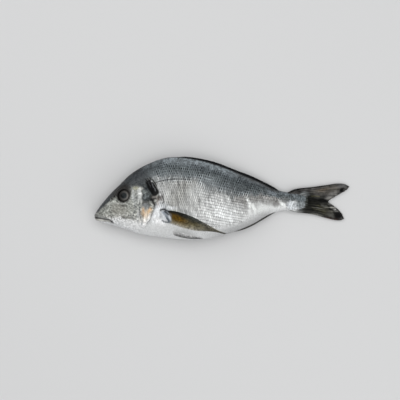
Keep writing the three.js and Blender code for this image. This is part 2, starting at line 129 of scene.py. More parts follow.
# The fins on the flanks stand out by a lift, which they reach after a share of their length.
PECTORAL_FIN = {
    "first": [(72.5, -8.6), (87, -9.9), (103.4, -15), (119.9, -23.4), (133, -30.7), (141.8, -34.1)],
    "last": [(79.5, -22.4), (88, -25.2), (97, -28.4), (110, -30.8), (128, -31.9), (141, -34.8)],
    "root": [(72.5, -8.6), (74.5, -15.5), (79.5, -22.4)],
    "margin": [(141.8, -34.1), (141.6, -34.5), (141, -34.8)],
    "grid": (120, 90), "rays": 15, "lift": 1.9, "lifted": 0.09,
}
PELVIC_FIN = {
    "first": [(83.5, -30.6), (98, -33.8), (109, -37), (116, -39)],
    "last": [(84.5, -35.2), (94, -38.2), (104, -39.6), (115.4, -39.4)],
    "root": [(83.5, -30.6), (83.2, -33), (84.5, -35.2)],
    "margin": [(116, -39), (116, -39.2), (115.4, -39.4)],
    "grid": (120, 48), "rays": 7, "lift": 1.5, "lifted": 0.25,
}

# ---- curves


def rise(low, high, value):
    """0 up to low, 1 from high on, and a smooth step between them."""
    t = np.clip((value - low) / (high - low), 0, 1)
    return t * t * (3 - 2 * t)


def fall(low, high, value):
    """1 up to low, 0 from high on, and a smooth step between them."""
    return 1 - rise(low, high, value)


def window(value, start, full, fading, end):
    """1 from full to fading, and 0 outside start and end."""
    return rise(start, full, value) * fall(fading, end, value)


def bell(distance, width):
    return np.exp(-((distance / width) ** 2))


def circle(count):
    """Angles once round, without the last one."""
    return np.linspace(0, 2 * np.pi, count, endpoint=False)


def xyz(x, y, z):
    return np.stack(np.broadcast_arrays(x, y, z), axis=-1)


def unit(vectors):
    return vectors / np.maximum(np.linalg.norm(vectors, axis=-1, keepdims=True), 1e-9)


def curve_through(points, warp=lambda x: x):
    """A smooth function through (position, value) pairs; warp np.sqrt lets it start as bluntly as a snout."""
    at = warp(np.array([p[0] for p in points], float))
    value = np.array([p[1] for p in points], float)
    before = np.maximum(np.arange(len(at)) - 1, 0)
    after = np.minimum(np.arange(len(at)) + 1, len(at) - 1)
    slope = (value[after] - value[before]) / (at[after] - at[before])

    def curve(x):
        u = np.clip(warp(np.maximum(x, points[0][0])), at[0], at[-1])
        i = np.clip(np.searchsorted(at, u) - 1, 0, len(at) - 2)
        span = at[i + 1] - at[i]
        t = (u - at[i]) / span
        s = 1 - t
        start = value[i] * (1 + 2 * t) * s * s + slope[i] * span * t * s * s
        return start + value[i + 1] * t * t * (3 - 2 * t) - slope[i + 1] * span * t * t * s

    return curve


def line_through(points):
    """A smooth line through (x, y) points, as a function of the share of the way along it."""
    knots = np.array(points, float)
    steps = np.sqrt(np.linalg.norm(np.diff(knots, axis=0), axis=1))
    at = np.concatenate([[0], np.cumsum(steps)])
    along_x = curve_through(list(zip(at, knots[:, 0])))
    along_y = curve_through(list(zip(at, knots[:, 1])))

    def line(t):
        knot = np.interp(t * (len(at) - 1), np.arange(len(at)), at)
        return np.stack([along_x(knot), along_y(knot)], axis=-1)

    return line


back_at = curve_through(BACK_LINE, np.sqrt)
belly_at = curve_through(BELLY_LINE, np.sqrt)
half_thickness_at = curve_through(HALF_THICKNESS, np.sqrt)
widest_at = curve_through(WIDEST_HEIGHT)
spine_at = curve_through(SPINE_HEIGHT)
gill_edge_at = curve_through(GILL_EDGE)
lateral_at = curve_through(LATERAL_LINE)

# The frame's origin is the middle of the fish's box, so the box's far corner tells where the snout is.
fish_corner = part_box("fish")[1]
dorsal_stations = np.linspace(DORSAL_FIN_EDGE[0][0], DORSAL_FIN_EDGE[-1][0], 200)
ORIGIN_X = TAIL_TIP - fish_corner[0] / MM
ORIGIN_Y = float(curve_through(DORSAL_FIN_EDGE)(dorsal_stations).max()) - fish_corner[1] / MM


def place(points):
    """Points in the fish's own millimetres, as metres in the frame."""
    return (np.asarray(points, float) - [ORIGIN_X, ORIGIN_Y, 0]) * MM


# ---- the flanks


def reach_and_edge(x, above):
    """How far the flank reaches up or down from its widest height, and how full its edge is there."""
    reach = np.where(above, back_at(x) - widest_at(x), widest_at(x) - belly_at(x))
    return reach, np.where(above, BACK_EDGE, BELLY_EDGE)


def bulge(x, t, edge):
    """How far a flank stands out, at a share t of its reach up or down from the widest height."""
    return half_thickness_at(x) * (1 - np.clip(t, 0, 1) ** FLANK_ROUNDNESS) ** edge


def rest_on(z):
    """Heights below the surface turn into the flat face that the fish rests on."""
    blended = (z + REST_BLEND) ** 2 / (4 * REST_BLEND)
    return np.where(z > REST_BLEND, z, np.where(z < -REST_BLEND, 0, blended))


def flank_height(x, y, side):
    off = y - widest_at(x)
    reach, edge = reach_and_edge(x, off > 0)
    z = spine_at(x) + side * bulge(x, np.abs(off) / np.maximum(reach, 1e-6), edge)
    return z if side > 0 else rest_on(z)


def body_point(x, angle):
    """A point of the plain body: angle 0 is on the upper flank, and a quarter turn is on the back."""
    up = np.sin(angle)
    reach, edge = reach_and_edge(x, up > 0)
    side = np.where(np.cos(angle) >= 0, 1, -1)
    return xyz(x, widest_at(x) + up * reach, spine_at(x) + side * bulge(x, np.abs(up), edge))


def body_normal(x, angle):
    step = 0.02
    along = body_point(x + step, angle) - body_point(np.maximum(0, x - step), angle)
    around = body_point(x, angle + step) - body_point(x, angle - step)
    return unit(np.cross(along, around))


# ---- mesh building


def point_numbers(rows, columns):
    return np.arange(rows * columns).reshape(rows, columns)


def quads(numbers):
    """Faces between the points of a grid, from the points' numbers."""
    corners = [numbers[:-1, :-1], numbers[:-1, 1:], numbers[1:, 1:], numbers[1:, :-1]]
    return np.stack(corners, axis=-1).reshape(-1, 4).tolist()


def fan(numbers, tip):
    """Faces between a line of points and one point."""
    return [[a, b, tip] for a, b in zip(numbers[:-1], numbers[1:])]


def shell(front, back):
    """Points and faces of a thin closed form between two grids of points."""
    numbers = point_numbers(*front.shape[:2])
    count = numbers.size
    rim = np.concatenate([numbers[:-1, 0], numbers[-1, :-1], numbers[:0:-1, -1], numbers[0, :0:-1]])
    faces = quads(numbers)
    faces += [[count + k for k in face[::-1]] for face in faces]
    faces += [[a, b, count + b, count + a] for a, b in zip(rim, np.roll(rim, -1))]
    return np.concatenate([front.reshape(-1, 3), back.reshape(-1, 3)]), faces


def tube(rings):
    """Points and faces of a closed tube through rings of points, with its ends drawn to a point."""
    numbers = np.pad(point_numbers(*rings.shape[:2]), ((0, 0), (0, 1)), "wrap")
    count = rings.shape[0] * rings.shape[1]
    faces = quads(numbers) + fan(numbers[0], count) + fan(numbers[-1], count + 1)
    ends = rings[[0, -1]].mean(axis=1)
    return np.concatenate([rings.reshape(-1, 3), ends]), faces


def make_piece(name, points, faces, material, node, attributes, normals=None):
    """A smooth mesh object from points in the fish's millimetres, riding on the body and replacing a node."""
    mesh = bpy.data.meshes.new(name)
    mesh.from_pydata(place(points).tolist(), [], faces)
    if normals is None:
        form = bmesh.new()
        form.from_mesh(mesh)
        bmesh.ops.recalc_face_normals(form, faces=form.faces)
        form.to_mesh(mesh)
        form.free()
    for key, values in attributes.items():
        if values.ndim == 2:
            data = mesh.attributes.new(key, "FLOAT_COLOR", "POINT").data
            data.foreach_set("color", np.c_[values, np.ones(len(values))].astype(np.float32).ravel())
        else:
            data = mesh.attributes.new(key, "FLOAT", "POINT").data
            data.foreach_set("value", values.astype(np.float32))
    mesh.polygons.foreach_set("use_smooth", [True] * len(mesh.polygons))
    if normals is not None:
        mesh.normals_split_custom_set_from_vertices(normals.tolist())
    mesh.materials.append(material)
    piece = bpy.data.objects.new(name, mesh)
    bpy.context.collection.objects.link(piece)
    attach(piece, "root")
    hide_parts(node)


# ---- shaders


def linear(red, green, blue):
    """A colour as a screen shows it, 0 to 255, turned into light."""
    return tuple(((c / 255 + 0.055) / 1.055) ** 2.4 for c in (red, green, blue))


class Number:
    """A shader's value that is added and multiplied like a number."""

    def __init__(self, shader, socket):
        self.shader = shader
        self.socket = socket

    def __add__(self, other):
        return self.shader.math("ADD", self, other)

    def __sub__(self, other):
        return self.shader.math("SUBTRACT", self, other)

    def __rsub__(self, other):
        return self.shader.math("SUBTRACT", other, self)

    def __mul__(self, other):
        return self.shader.math("MULTIPLY", self, other)

    def __abs__(self):
        return self.shader.math("ABSOLUTE", self)

    __radd__ = __add__
    __rmul__ = __mul__


class Shader:
    """Builds a material's nodes; its methods give the values that carry their results."""

    def __init__(self, name):
        self.material = bpy.data.materials.new(name)
        self.material.use_nodes = True
        self.tree = self.material.node_tree
        self.surface = self.tree.nodes["Principled BSDF"]
        self.place = self.node("ShaderNodeTexCoord").outputs["Object"]

    def put(self, value, socket):
        if isinstance(value, Number):
            value = value.socket
        if isinstance(value, bpy.types.NodeSocket):
            self.tree.links.new(value, socket)
        elif socket.type == "RGBA":
            socket.default_value = (*value, 1)
        else:
            socket.default_value = value

    def node(self, kind, inputs=None, **settings):
        made = self.tree.nodes.new(kind)
        for key, value in settings.items():
            setattr(made, key, value)
        for key, value in (inputs or {}).items():
            self.put(value, made.inputs[key])
        return made

    def math(self, operation, *values):
        made = self.node("ShaderNodeMath", dict(enumerate(values)), operation=operation)
        return Number(self, made.outputs[0])

    def fraction(self, value):
        return self.math("FRACT", value)

    def attributes(self, *names):
        nodes = [self.node("ShaderNodeAttribute", attribute_name=name) for name in names]
        return [Number(self, node.outputs["Fac"]) for node in nodes]

    def tone(self):
        return self.node("ShaderNodeAttribute", attribute_name="tone").outputs["Color"]

    def map(self, value, low, high, new_low=0.0, new_high=1.0):
        inputs = {"Value": value, "From Min": low, "From Max": high, "To Min": new_low, "To Max": new_high}
        made = self.node("ShaderNodeMapRange", inputs, interpolation_type="SMOOTHSTEP")
        return Number(self, made.outputs[0])

    def choose(self, factor, if_zero, if_one):
        made = self.node("ShaderNodeMix", {0: factor, 2: if_zero, 3: if_one}, data_type="FLOAT")
        return Number(self, made.outputs[0])

    def mix(self, factor, under, over):
        made = self.node("ShaderNodeMix", {0: factor, 6: under, 7: over}, data_type="RGBA")
        return made.outputs[2]

    def shaded(self, colour, factor):
        made = self.node("ShaderNodeVectorMath", {0: colour, "Scale": factor}, operation="SCALE")
        return made.outputs[0]

    def noise(self, scale, detail):
        place = self.node("ShaderNodeMapping", {"Vector": self.place}).outputs[0]
        made = self.node("ShaderNodeTexNoise", {"Vector": place, "Scale": scale, "Detail": detail})
        return Number(self, made.outputs[0])

    def bump(self, height, distance, **under):
        return self.node("ShaderNodeBump", {"Height": height, "Distance": distance, **under}).outputs[0]

    def finish(self, **inputs):
        for key, value in inputs.items():
            self.put(value, self.surface.inputs[key.replace("_", " ")])
        return self.material


# ---- scales

SCALE_LENGTH = [(0, 1.5), (60, 2.0), (150, 2.1), (205, 1.5), (BODY_LENGTH, 1.2)]
SCALE_ROW = [(0, 2.6), (60, 3.0), (150, 2.9), (205, 2.0), (BODY_LENGTH, 1.6)]
SCALE_BOW = 0.75  # how far a scale's rear edge bows, in scale lengths
SCALE_SLOPE = 0.55  # how much lower a scale is at its sides than in its middle, in its height
SCALE_RELIEF = 0.13
scale_length_at = curve_through(SCALE_LENGTH)
scale_row_at = curve_through(SCALE_ROW)


def scale_column(x):
    """How many scale lengths lie between the snout and x."""
    stations = np.linspace(0, BODY_LENGTH, 1000)
    count = np.cumsum(1 / scale_length_at(stations)) * (stations[1] - stations[0])
    return np.interp(x, stations, count)


def scale_height(column, row):
    """Height of the overlapping scales, 0 to 1: it rises to each scale's bowed rear edge and drops there."""
    heights = []
    for turn in (0, 1):
        off = np.abs((row + turn) / 2 % 1 - 0.5) * 2
        phase = (column + 0.5 * turn + SCALE_BOW * off**2) % 1
        heights.append(phase - SCALE_SLOPE * off)
    return np.maximum(*heights)


def scale_nodes(shader):
    """The same height, with the way along the scale, the way off its middle, and its random number."""
    column, row = shader.attributes("scale_column", "scale_row")
    layers = []
    for turn in (0, 1):
        half_row = (row + turn) * 0.5
        off = abs(shader.fraction(half_row) - 0.5) * 2
        along = column + 0.5 * turn + off * off * SCALE_BOW
        phase = shader.fraction(along)
        cell = {"X": shader.math("FLOOR", along), "Y": shader.math("FLOOR", half_row), "Z": float(turn)}
        cell = shader.node("ShaderNodeCombineXYZ", cell).outputs[0]
        chance = shader.node("ShaderNodeTexWhiteNoise", {"Vector": cell}).outputs["Value"]
        layers.append((phase - off * SCALE_SLOPE, phase, off, chance))
    first_on_top = shader.math("GREATER_THAN", layers[0][0], layers[1][0])
    return [shader.choose(first_on_top, second, first) for first, second in zip(*layers)]


# ---- painting

NOISE_CELLS = 97


def noise(x, y, size, seed):
    """Smooth random values, -0.5 to 0.5, that change over about (along, across) millimetres."""
    grid = np.random.default_rng(seed).random((NOISE_CELLS, NOISE_CELLS)) - 0.5
    u, v = x / size[0], y / size[1]
    i, j = np.floor(u).astype(int) % NOISE_CELLS, np.floor(v).astype(int) % NOISE_CELLS
    next_i, next_j = (i + 1) % NOISE_CELLS, (j + 1) % NOISE_CELLS
    s, t = rise(0, 1, u % 1), rise(0, 1, v % 1)
    low = grid[i, j] * (1 - s) + grid[next_i, j] * s
    high = grid[i, next_j] * (1 - s) + grid[next_i, next_j] * s
    return low * (1 - t) + high * t


def cloud(x, y, size, seed):
    """Random values with no direction, about -0.5 to 0.5, that change over about size millimetres."""
    layers = [noise(*turned(x, y, (0, 0), turn), (size, size), seed + turn) for turn in (17, 53, 81)]
    return sum(layers) / 3 * 1.6


def turned(x, y, middle, turn):
    """Coordinates from a middle, along and across a direction that is turned by degrees."""
    c, s = math.cos(math.radians(turn)), math.sin(math.radians(turn))
    dx, dy = x - middle[0], y - middle[1]
    return dx * c + dy * s, dy * c - dx * s


def spot(x, y, middle, radii, turn=0.0, soft=0.4):
    """1 inside an ellipse, 0 outside, with an edge that is soft by that share of its size."""
    along, across = turned(x, y, middle, turn)
    return fall(1 - soft, 1 + soft, np.hypot(along / radii[0], across / radii[1]))


def stroke(x, y, points, width):
    """1 on a smooth line through the points, fading over the width."""
    path = line_through(points)(np.linspace(0, 1, 5 * len(points)))
    near = np.full(np.shape(x), 1e9)
    for (ax, ay), (bx, by) in zip(path[:-1], path[1:]):
        t = np.clip(((x - ax) * (bx - ax) + (y - ay) * (by - ay)) / ((bx - ax) ** 2 + (by - ay) ** 2), 0, 1)
        near = np.minimum(near, (x - ax - t * (bx - ax)) ** 2 + (y - ay - t * (by - ay)) ** 2)
    return np.exp(-near / width**2)


def tones(stops, height):
    """Colours between (height, colour) stops."""
    colours = np.array([linear(*colour) for _, colour in stops])
    at = [stop for stop, _ in stops]
    return np.stack([np.interp(height, at, colours[:, channel]) for channel in range(3)], axis=-1)


def paint(under, colour, mask):
    return under + (np.array(linear(*colour)) - under) * np.clip(mask, 0, 1)[..., None]


def shaded(colour, factor):
    return colour * factor[..., None]


def marked(x, y, colour, patches, lines=()):
    """Lays patches over a colour, and then lines."""
    for shade, strength, middle, radii, turn, soft in patches:
        colour = paint(colour, shade, strength * spot(x, y, middle, radii, turn, soft))
    for shade, strength, width, points in lines:
        colour = paint(colour, shade, strength * stroke(x, y, points, width))
    return colour


def marked_unevenly(x, y, colour, patches, lines):
    """Lays patches and lines over a colour, with edges as uneven as on real skin."""
    stray = 1.6 * cloud(x, y, 3.4, 91) + 0.9 * cloud(x, y, 1.2, 92)
    return marked(x + stray, y + 1.8 * cloud(x, y, 3.1, 93), colour, patches, lines)


# ---- skin colours

# Height where the dark back, or the head's crown, turns into the silver side.
DARK_LINE = [
    (56, 24), (66, 24.5), (80, 25), (92, 25), (106, 24), (113, 21.5), (121, 17), (130, 13.4), (140, 9.4),
    (150, 6.5), (160, 6.5), (178, 5.2), (194, 3.2), (205, 2.4), (BODY_LENGTH, 1),
]
CROWN_LINE = [
    (0, -13.8), (8, -7), (16, 1.5), (24, 10.5), (30, 14.5), (36, 15.4), (42, 15.2), (48, 15.8), (54, 19),
    (60, 25),
]
dark_line_at = curve_through(DARK_LINE)
crown_line_at = curve_through(CROWN_LINE)
# Tones from the belly's edge (-1) over that line (0) to the back's edge (1).
FLANK_TONES = [
    (-1.0, (213, 214, 214)), (-0.62, (211, 212, 211)), (-0.4, (197, 198, 197)), (-0.22, (188, 189, 188)),
    (-0.12, (178, 179, 178)), (-0.05, (158, 160, 159)), (0.0, (140, 143, 143)), (0.06, (126, 130, 131)),
    (0.14, (114, 119, 121)), (0.26, (102, 108, 110)), (0.5, (92, 98, 100)), (0.64, (87, 93, 96)),
    (0.8, (122, 129, 133)), (0.92, (132, 140, 144)), (1.0, (104, 109, 112)),
]
HEAD_TONES = [
    (-1.0, (204, 205, 206)), (-0.9, (216, 217, 217)), (-0.76, (222, 222, 221)), (-0.69, (180, 180, 175)),
    (-0.55, (150, 151, 145)), (-0.2, (150, 152, 146)), (-0.05, (134, 135, 130)), (0.06, (84, 86, 86)),
    (0.3, (66, 69, 71)), (0.75, (62, 65, 68)), (1.0, (42, 44, 45)),
]
# Painted shade in the nostrils' pits.
NOSTRIL_SHADE = (10, 10, 11)
# Patches on the head: colour, strength, middle, radii, turn, softness.
HEAD_PATCHES = [
    ((78, 77, 74), 0.9, (32.4, 7), (7.9, 7.9), 0, 0.2),
    ((38, 36, 35), 0.95, (29.5, 11.5), (11, 6.5), 28, 0.5),
    ((126, 124, 116), 0.6, (27, -8), (9, 6), -20, 0.6),
    ((160, 159, 136), 0.7, (45.4, 14.4), (3.2, 1.5), -10, 0.8),
    ((192, 194, 193), 0.75, (49, 6.4), (2.6, 6.6), 6, 0.6),
    ((218, 220, 218), 0.55, (49.8, 9.4), (1.3, 5), 10, 0.7),
    ((204, 204, 202), 0.6, (48.2, -12.6), (1.7, 4.6), 4, 0.7),
    ((166, 169, 169), 0.6, (42.6, 5), (1.8, 9), 8, 0.7),
    ((104, 106, 108), 0.5, (46.0, 3), (1.0, 8), 6, 0.6),
    ((70, 68, 65), 0.8, (31.2, -3.8), (2.9, 1.4), 8, 0.6),
    ((96, 94, 88), 0.7, (31.5, -15.4), (3, 1.2), 12, 0.6),
    ((104, 103, 97), 0.7, (37, -17.2), (4, 1.3), -12, 0.6),
    ((60, 63, 64), 0.9, (53.6, 21.6), (4.6, 4), 0, 0.5),
    ((52, 56, 57), 0.96, (57.8, 10.6), (6.2, 12.5), -14, 0.3),
    ((50, 53, 54), 0.6, (59.6, 3.6), (4.6, 5.4), 30, 0.4),
    ((90, 90, 88), 0.8, (55.6, -2.4), (4.4, 3.6), 0, 0.5),
    ((86, 82, 79), 0.9, (65.2, 5), (4, 3.4), 0, 0.4),
    ((120, 127, 128), 0.65, (55, 5.6), (1.3, 2.8), -24, 0.6),
    ((130, 136, 134), 0.7, (54.8, 10.8), (2.4, 2), -10, 0.6),
    ((112, 118, 119), 0.55, (58.4, 7.4), (1.0, 2.4), -20, 0.6),
    ((196, 184, 168), 0.85, (56.4, -14.2), (5, 7.6), 14, 0.6),
    ((104, 108, 110), 0.8, (55.6, -5.4), (4.4, 3.6), -10, 0.6),
    ((208, 180, 148), 0.7, (52.8, -11.4), (1.9, 5), 2, 0.8),
    ((206, 176, 140), 0.7, (59.2, -9.8), (2, 3.6), -24, 0.8),
    ((208, 184, 156), 0.6, (56.4, -15.6), (2.4, 2.6), -30, 0.8),
    ((196, 146, 92), 0.4, (52.4, -9.4), (0.9, 2.2), 10, 0.8),
    ((190, 142, 90), 0.45, (60, -8.6), (1, 2), -24, 0.8),
    ((250, 250, 249), 0.85, (60, -20.4), (5.4, 5), 20, 0.8),
    ((234, 231, 225), 0.8, (52.6, -18.8), (3.2, 2.4), 0, 0.8),
]
# Lines on the head: colour, strength, width, points.
HEAD_LINES = [
    # Painted shade in the gap between the lips, along the mouth.
    ((26, 24, 23), 1.0, 1.5, MOUTH_LINE),
    ((74, 78, 82), 0.8, 0.6, [(48.2, -2), (48.9, -8), (49.5, -17.5)]),
    ((90, 93, 94), 0.7, 0.6, [(45.6, -4.5), (43.6, -11), (40.4, -17)]),
    ((112, 120, 128), 0.6, 0.55, [(51.2, -15), (51.6, -20), (51.4, -24)]),
    ((120, 126, 134), 0.5, 0.5, [(46.4, -12), (46.2, -18), (47, -22)]),
    ((232, 233, 231), 0.7, 0.5, [(46.9, 8.2), (51.4, 8.4)]),
    # A painted highlight along the lower lid.
    ((196, 196, 191), 0.7, 0.6, [(22, -1), (26, -1.9), (31, -1.8), (34, -1)]),
    ((52, 56, 58), 0.85, 2.1, [(49.4, 19.4), (53, 16.6), (57, 13.8)]),
    ((40, 38, 37), 0.85, 0.7, [(64.2, 3.9), (67, 4.2)]),
    # Painted shadow in the gill opening, along the gill cover's edge.
    ((8, 8, 9), 1.0, 1.35, [(62, 2.8), (63.9, 0.6), (65.3, -2.4), (65.4, -5.4)]),
    ((28, 29, 31), 0.95, 1.0, [(65.3, -5.4), (64.4, -10), (62.6, -13.6)]),
    ((84, 88, 92), 0.85, 0.7, [(62.6, -13.6), (60.4, -18), (57, -22.2)]),
    ((224, 224, 222), 0.8, 0.6, [(60.4, -13), (57.9, -18.6), (55, -22.4)]),
]
# The black blotch on the shoulder: an ellipse over a round foot, with teeth along its upper end.
BLOTCH = {"middle": (62.2, 15.6), "radii": (9.8, 4.5), "turn": -56}
BLOTCH_FOOT = {"middle": (65.2, 10.7), "radii": (4.6, 4.2), "turn": -56, "soft": 0.2}
BLOTCH_BLACK = (2, 3, 4)
BLOTCH_TEETH = [(55.4, 24.2), (57.5, 25), (59.8, 25.6), (62.4, 24.4)]
BLOTCH_TOOTH = {"length": 8.0, "width": 0.6, "strength": 0.9}
BLOTCH_STREAKS = [
    ((150, 154, 156), 0.4, 0.34, [(62.4, 18.8), (64.2, 16), (66.4, 12)]),
    ((110, 114, 116), 0.3, 0.3, [(58, 20.6), (59.4, 18), (60.6, 15.8)]),
    ((214, 216, 216), 0.7, 0.6, [(62, 22), (62.8, 21.4)]),
]
# Patches and lines behind the gill cover, in the same order.
FLANK_PATCHES = [
    ((180, 184, 188), 0.8, (73, -12), (9.5, 10), 12, 0.4),
    ((240, 242, 243), 0.9, (67, -13.4), (4.4, 9.5), -14, 0.6),
    ((120, 130, 141), 0.75, (75.6, -12.4), (3.6, 1.3), -36, 0.6),
    ((96, 92, 90), 0.75, (70.8, 5.6), (4, 3.8), 0, 0.6),
    ((192, 180, 172), 0.5, (68.2, -0.6), (1.3, 3.6), 12, 0.8),
    ((222, 225, 226), 0.7, (81, -6.2), (6.4, 1.9), -8, 0.7),
    ((226, 228, 226), 0.95, (201.8, -2), (5, 2.1), -44, 0.3),
    ((236, 238, 238), 0.6, (141, -14), (11, 7), -20, 0.8),
    ((106, 104, 102), 0.75, (195.6, -1.2), (4.4, 3.6), -14, 0.5),
    ((74, 72, 70), 0.85, (206.6, -1.4), (0.8, 3.6), 6, 0.5),
    ((192, 196, 199), 0.9, (212.4, -4), (6.2, 5.2), 0, 0.35),
    ((104, 106, 106), 0.85, (205, 2.2), (4.4, 3), 0, 0.6),
    ((144, 152, 158), 0.6, (190.6, 9.8), (4.6, 1.7), -26, 0.6),
    ((226, 228, 226), 0.6, (180, -7), (7, 3.4), 14, 0.6),
    # A painted glint on the side.
    ((236, 238, 236), 0.45, (144, 3.4), (5, 1.4), -54, 0.6),
    ((250, 250, 250), 0.9, (70.6, -21), (6.2, 3.4), -20, 0.7),
    # Painted shadow of the pectoral fin, on the flank just above it.
    ((130, 132, 132), 0.75, (99.4, -11), (9, 2.6), -22, 0.8),
    ((148, 148, 146), 0.6, (184, -0.6), (5, 2), -6, 0.7),
    ((74, 78, 80), 0.6, (64, 39), (9, 7), 30, 0.8),
    ((152, 160, 164), 0.4, (90, 42.6), (12, 3), 0, 0.8),
    ((150, 156, 158), 0.4, (121, 24), (8, 4), -20, 0.9),
    ((110, 114, 115), 0.7, (121.6, 14.2), (5.4, 4), -30, 0.8),
    ((78, 82, 84), 0.35, (90, 31.5), (6, 4), 0, 0.9),
    ((70, 74, 76), 0.5, (148.6, 12.6), (7, 2.6), -24, 0.8),
    ((206, 208, 207), 0.45, (110.6, 13), (8, 7), 0, 0.8),
    # Painted shade from the flank's fins, on the belly between the pectoral and the pelvic fin.
    ((168, 169, 167), 0.65, (96, -33), (11, 3.4), -14, 0.8),
    # Painted shade beside two creases, then the creases' painted highlights.
    ((118, 117, 115), 0.6, (161.2, -4), (7.4, 2), -74, 0.8),
    ((236, 238, 236), 0.85, (165.2, -0.6), (6.4, 1.7), -74, 0.5),
    ((236, 238, 236), 0.75, (170.6, -6), (6.4, 1.5), -66, 0.5),
]
PECTORAL_GROOVE = [(73.5, -20.4), (77.5, -22), (81.4, -21.8)]
FLANK_LINES = [
    ((52, 50, 50), 0.85, 0.65, [(72.4, 7), (74, 5), (75, 1.6), (74.2, -1.6)]),
    ((84, 74, 68), 0.8, 0.7, [(69.4, 6), (71.4, 4.2), (73, 1.8)]),
    ((96, 80, 70), 0.8, 0.7, [(67.2, 5.8), (68.8, 2.8)]),
    ((240, 240, 239), 0.95, 0.75, [(65.4, 7.8), (66.6, 6.4)]),
    # A painted glint behind the blotch.
    ((242, 243, 242), 0.95, 0.8, [(69.8, 9), (71.2, 7.8)]),
    # Painted shadow under the pectoral fin's root lobe, along its groove.
    ((78, 84, 90), 0.9, 1.0, PECTORAL_GROOVE),
    ((62, 66, 70), 0.8, 0.7, [(76, -10.2), (79, -12.4), (81.6, -15.6)]),
    ((12, 14, 16), 1.0, 1.15, [(71, -8.8), (74.4, -8), (78, -9.2)]),
    ((50, 54, 58), 0.8, 0.45, [(76.2, -7.8), (77.4, -4.4)]),
    ((230, 231, 230), 0.6, 0.45, [(118.8, -0.3), (140.4, -0.3)]),
    ((92, 90, 87), 0.7, 0.5, [(147, -0.4), (163, 0)]),
]


def share_of_side(x, y, line):
    """Height on the flank: 0 on the line, 1 at the back's edge, -1 at the belly's."""
    reach = np.where(y > line, back_at(x) - line, line - belly_at(x))
    return np.clip((y - line) / np.maximum(reach, 1), -1, 1)


def head_tone(x, y):
    wander = 3 * cloud(x, y, 5, 11) + 2 * cloud(x, y, 1.4, 20)
    height = share_of_side(x, y + wander, crown_line_at(x))
    on_crown = 0.55 * rise(0, 0.1, height)
    on_cheek = rise(-23, -17, y) * fall(-3, 1, y - crown_line_at(x))
    worms = 3 * np.abs(cloud(x, y, 2.2, 12)) - 0.6
    mottle = 1 + on_crown * (cloud(x, y, 1.1, 17) + cloud(x, y, 3, 18))
    mottle *= 1 + on_cheek * (0.7 * worms + 1.1 * cloud(x, y, 1.1, 13))
    colour = shaded(tones(HEAD_TONES, height), mottle)
    colour = marked_unevenly(x, y, colour, HEAD_PATCHES, HEAD_LINES)
    # The nostrils' pits get painted shade.
    for middle, radii in NOSTRILS:
        colour = paint(colour, NOSTRIL_SHADE, spot(x, y, middle, radii, NOSTRIL_TURN))
    leaning = x - 0.1 * y
    streaks = noise(leaning, y, (0.8, 6), 15) + noise(leaning, y, (1.6, 9), 16)
    streaked = rise(41, 46, x) * window(y, -26, -18, 0, 8)
    on_gill_cover = rise(50, 54, x) * window(y, -8, -2, 18, 24)
    grain = (0.12 + 0.25 * on_cheek + 0.8 * on_gill_cover) * cloud(x, y, 0.9, 14)
    grain += on_gill_cover * cloud(x, y, 2, 19)
    return shaded(colour, 1 + 0.5 * streaked * streaks + grain)


def flank_tone(x, y):
    dark_line = dark_line_at(x)
    wander = 5 * cloud(x, y, 8, 21) + 4 * cloud(x, y, 2.4, 22)
    wander *= fall(0.5, 0.9, np.abs(share_of_side(x, y, dark_line)))
    height = share_of_side(x, y + wander, dark_line)
    colour = tones(FLANK_TONES, height)
    on_back, on_upper_back = rise(0, 0.2, height), rise(0.5, 0.8, height)
    # The silver side is greyer behind the gill cover and in a band along the rear of the fish.
    front = 0.5 * bell(x - 86 - 0.7 * y + 8 * cloud(x, y, 7, 27), 11) + 0.42 * fall(106, 124, x)
    front *= rise(66, 80, x) * rise(-13, -9, y)
    colour = paint(colour, (146, 146, 142), front * fall(-0.08, -0.02, height))
    band = window(x, 142, 154, 197, 203) * bell(y + wander - 3 + 0.02 * (x - 150), 4.6)
    colour = paint(colour, (134, 133, 130), 0.8 * band * (1 - on_back))
    # The back gets a random mottle; its light patches are painted glints.
    uneven = 0.8 * cloud(x, y, 3.4, 26) + 1.1 * cloud(x, y, 1, 28)
    uneven = 1 + on_back * (0.6 + 0.6 * on_upper_back) * uneven
    # The rear is darker on the back. Along the belly's edge painted shade darkens the flank where it turns
    # away from the light.
    darker = (0.16 + 0.22 * rise(0.4, 0.8, height)) * rise(120, 170, x) * rise(-0.05, 0.3, height)
    darker += 0.36 * window(x, 105, 150, 180, 194) * fall(0, 18, y - belly_at(x)) * (1 - on_back)
    leaning = x + 0.12 * y
    streaks = noise(leaning, y, (0.8, 5), 23) + noise(leaning, y, (1.5, 9), 24)
    streaked = window(height, -0.75, -0.45, 0, 0.25) * (1 - 0.5 * rise(120, 160, x))
    streaked *= 0.6 * streaks + 0.3 * noise(x, y, (0.9, 0.9), 25)
    colour = shaded(colour, uneven * (1 - darker) * (1 + streaked))
    lateral_line = 0.95 * bell(y - lateral_at(x), 0.55) * (1 - 0.8 * rise(90, 108, x))
    colour = paint(colour, (66, 68, 70), lateral_line)
    # The folded dorsal fin lies in a black groove, with a grey sheath along its rear.
    below_back = back_at(x) - y
    sheath = 0.5 * window(x, 146, 156, 196, 200) * fall(2.6, 4.4, below_back)
    colour = paint(colour, (84, 84, 83), sheath)
    groove_depth = 0.05 + 2.2 * rise(72, 120, x)
    groove = 0.92 * window(x, 72, 84, 196, 200) * fall(0.3, 1, below_back / groove_depth)
    colour = paint(colour, (14, 15, 16), groove)
    return marked_unevenly(x, y, colour, FLANK_PATCHES, FLANK_LINES)


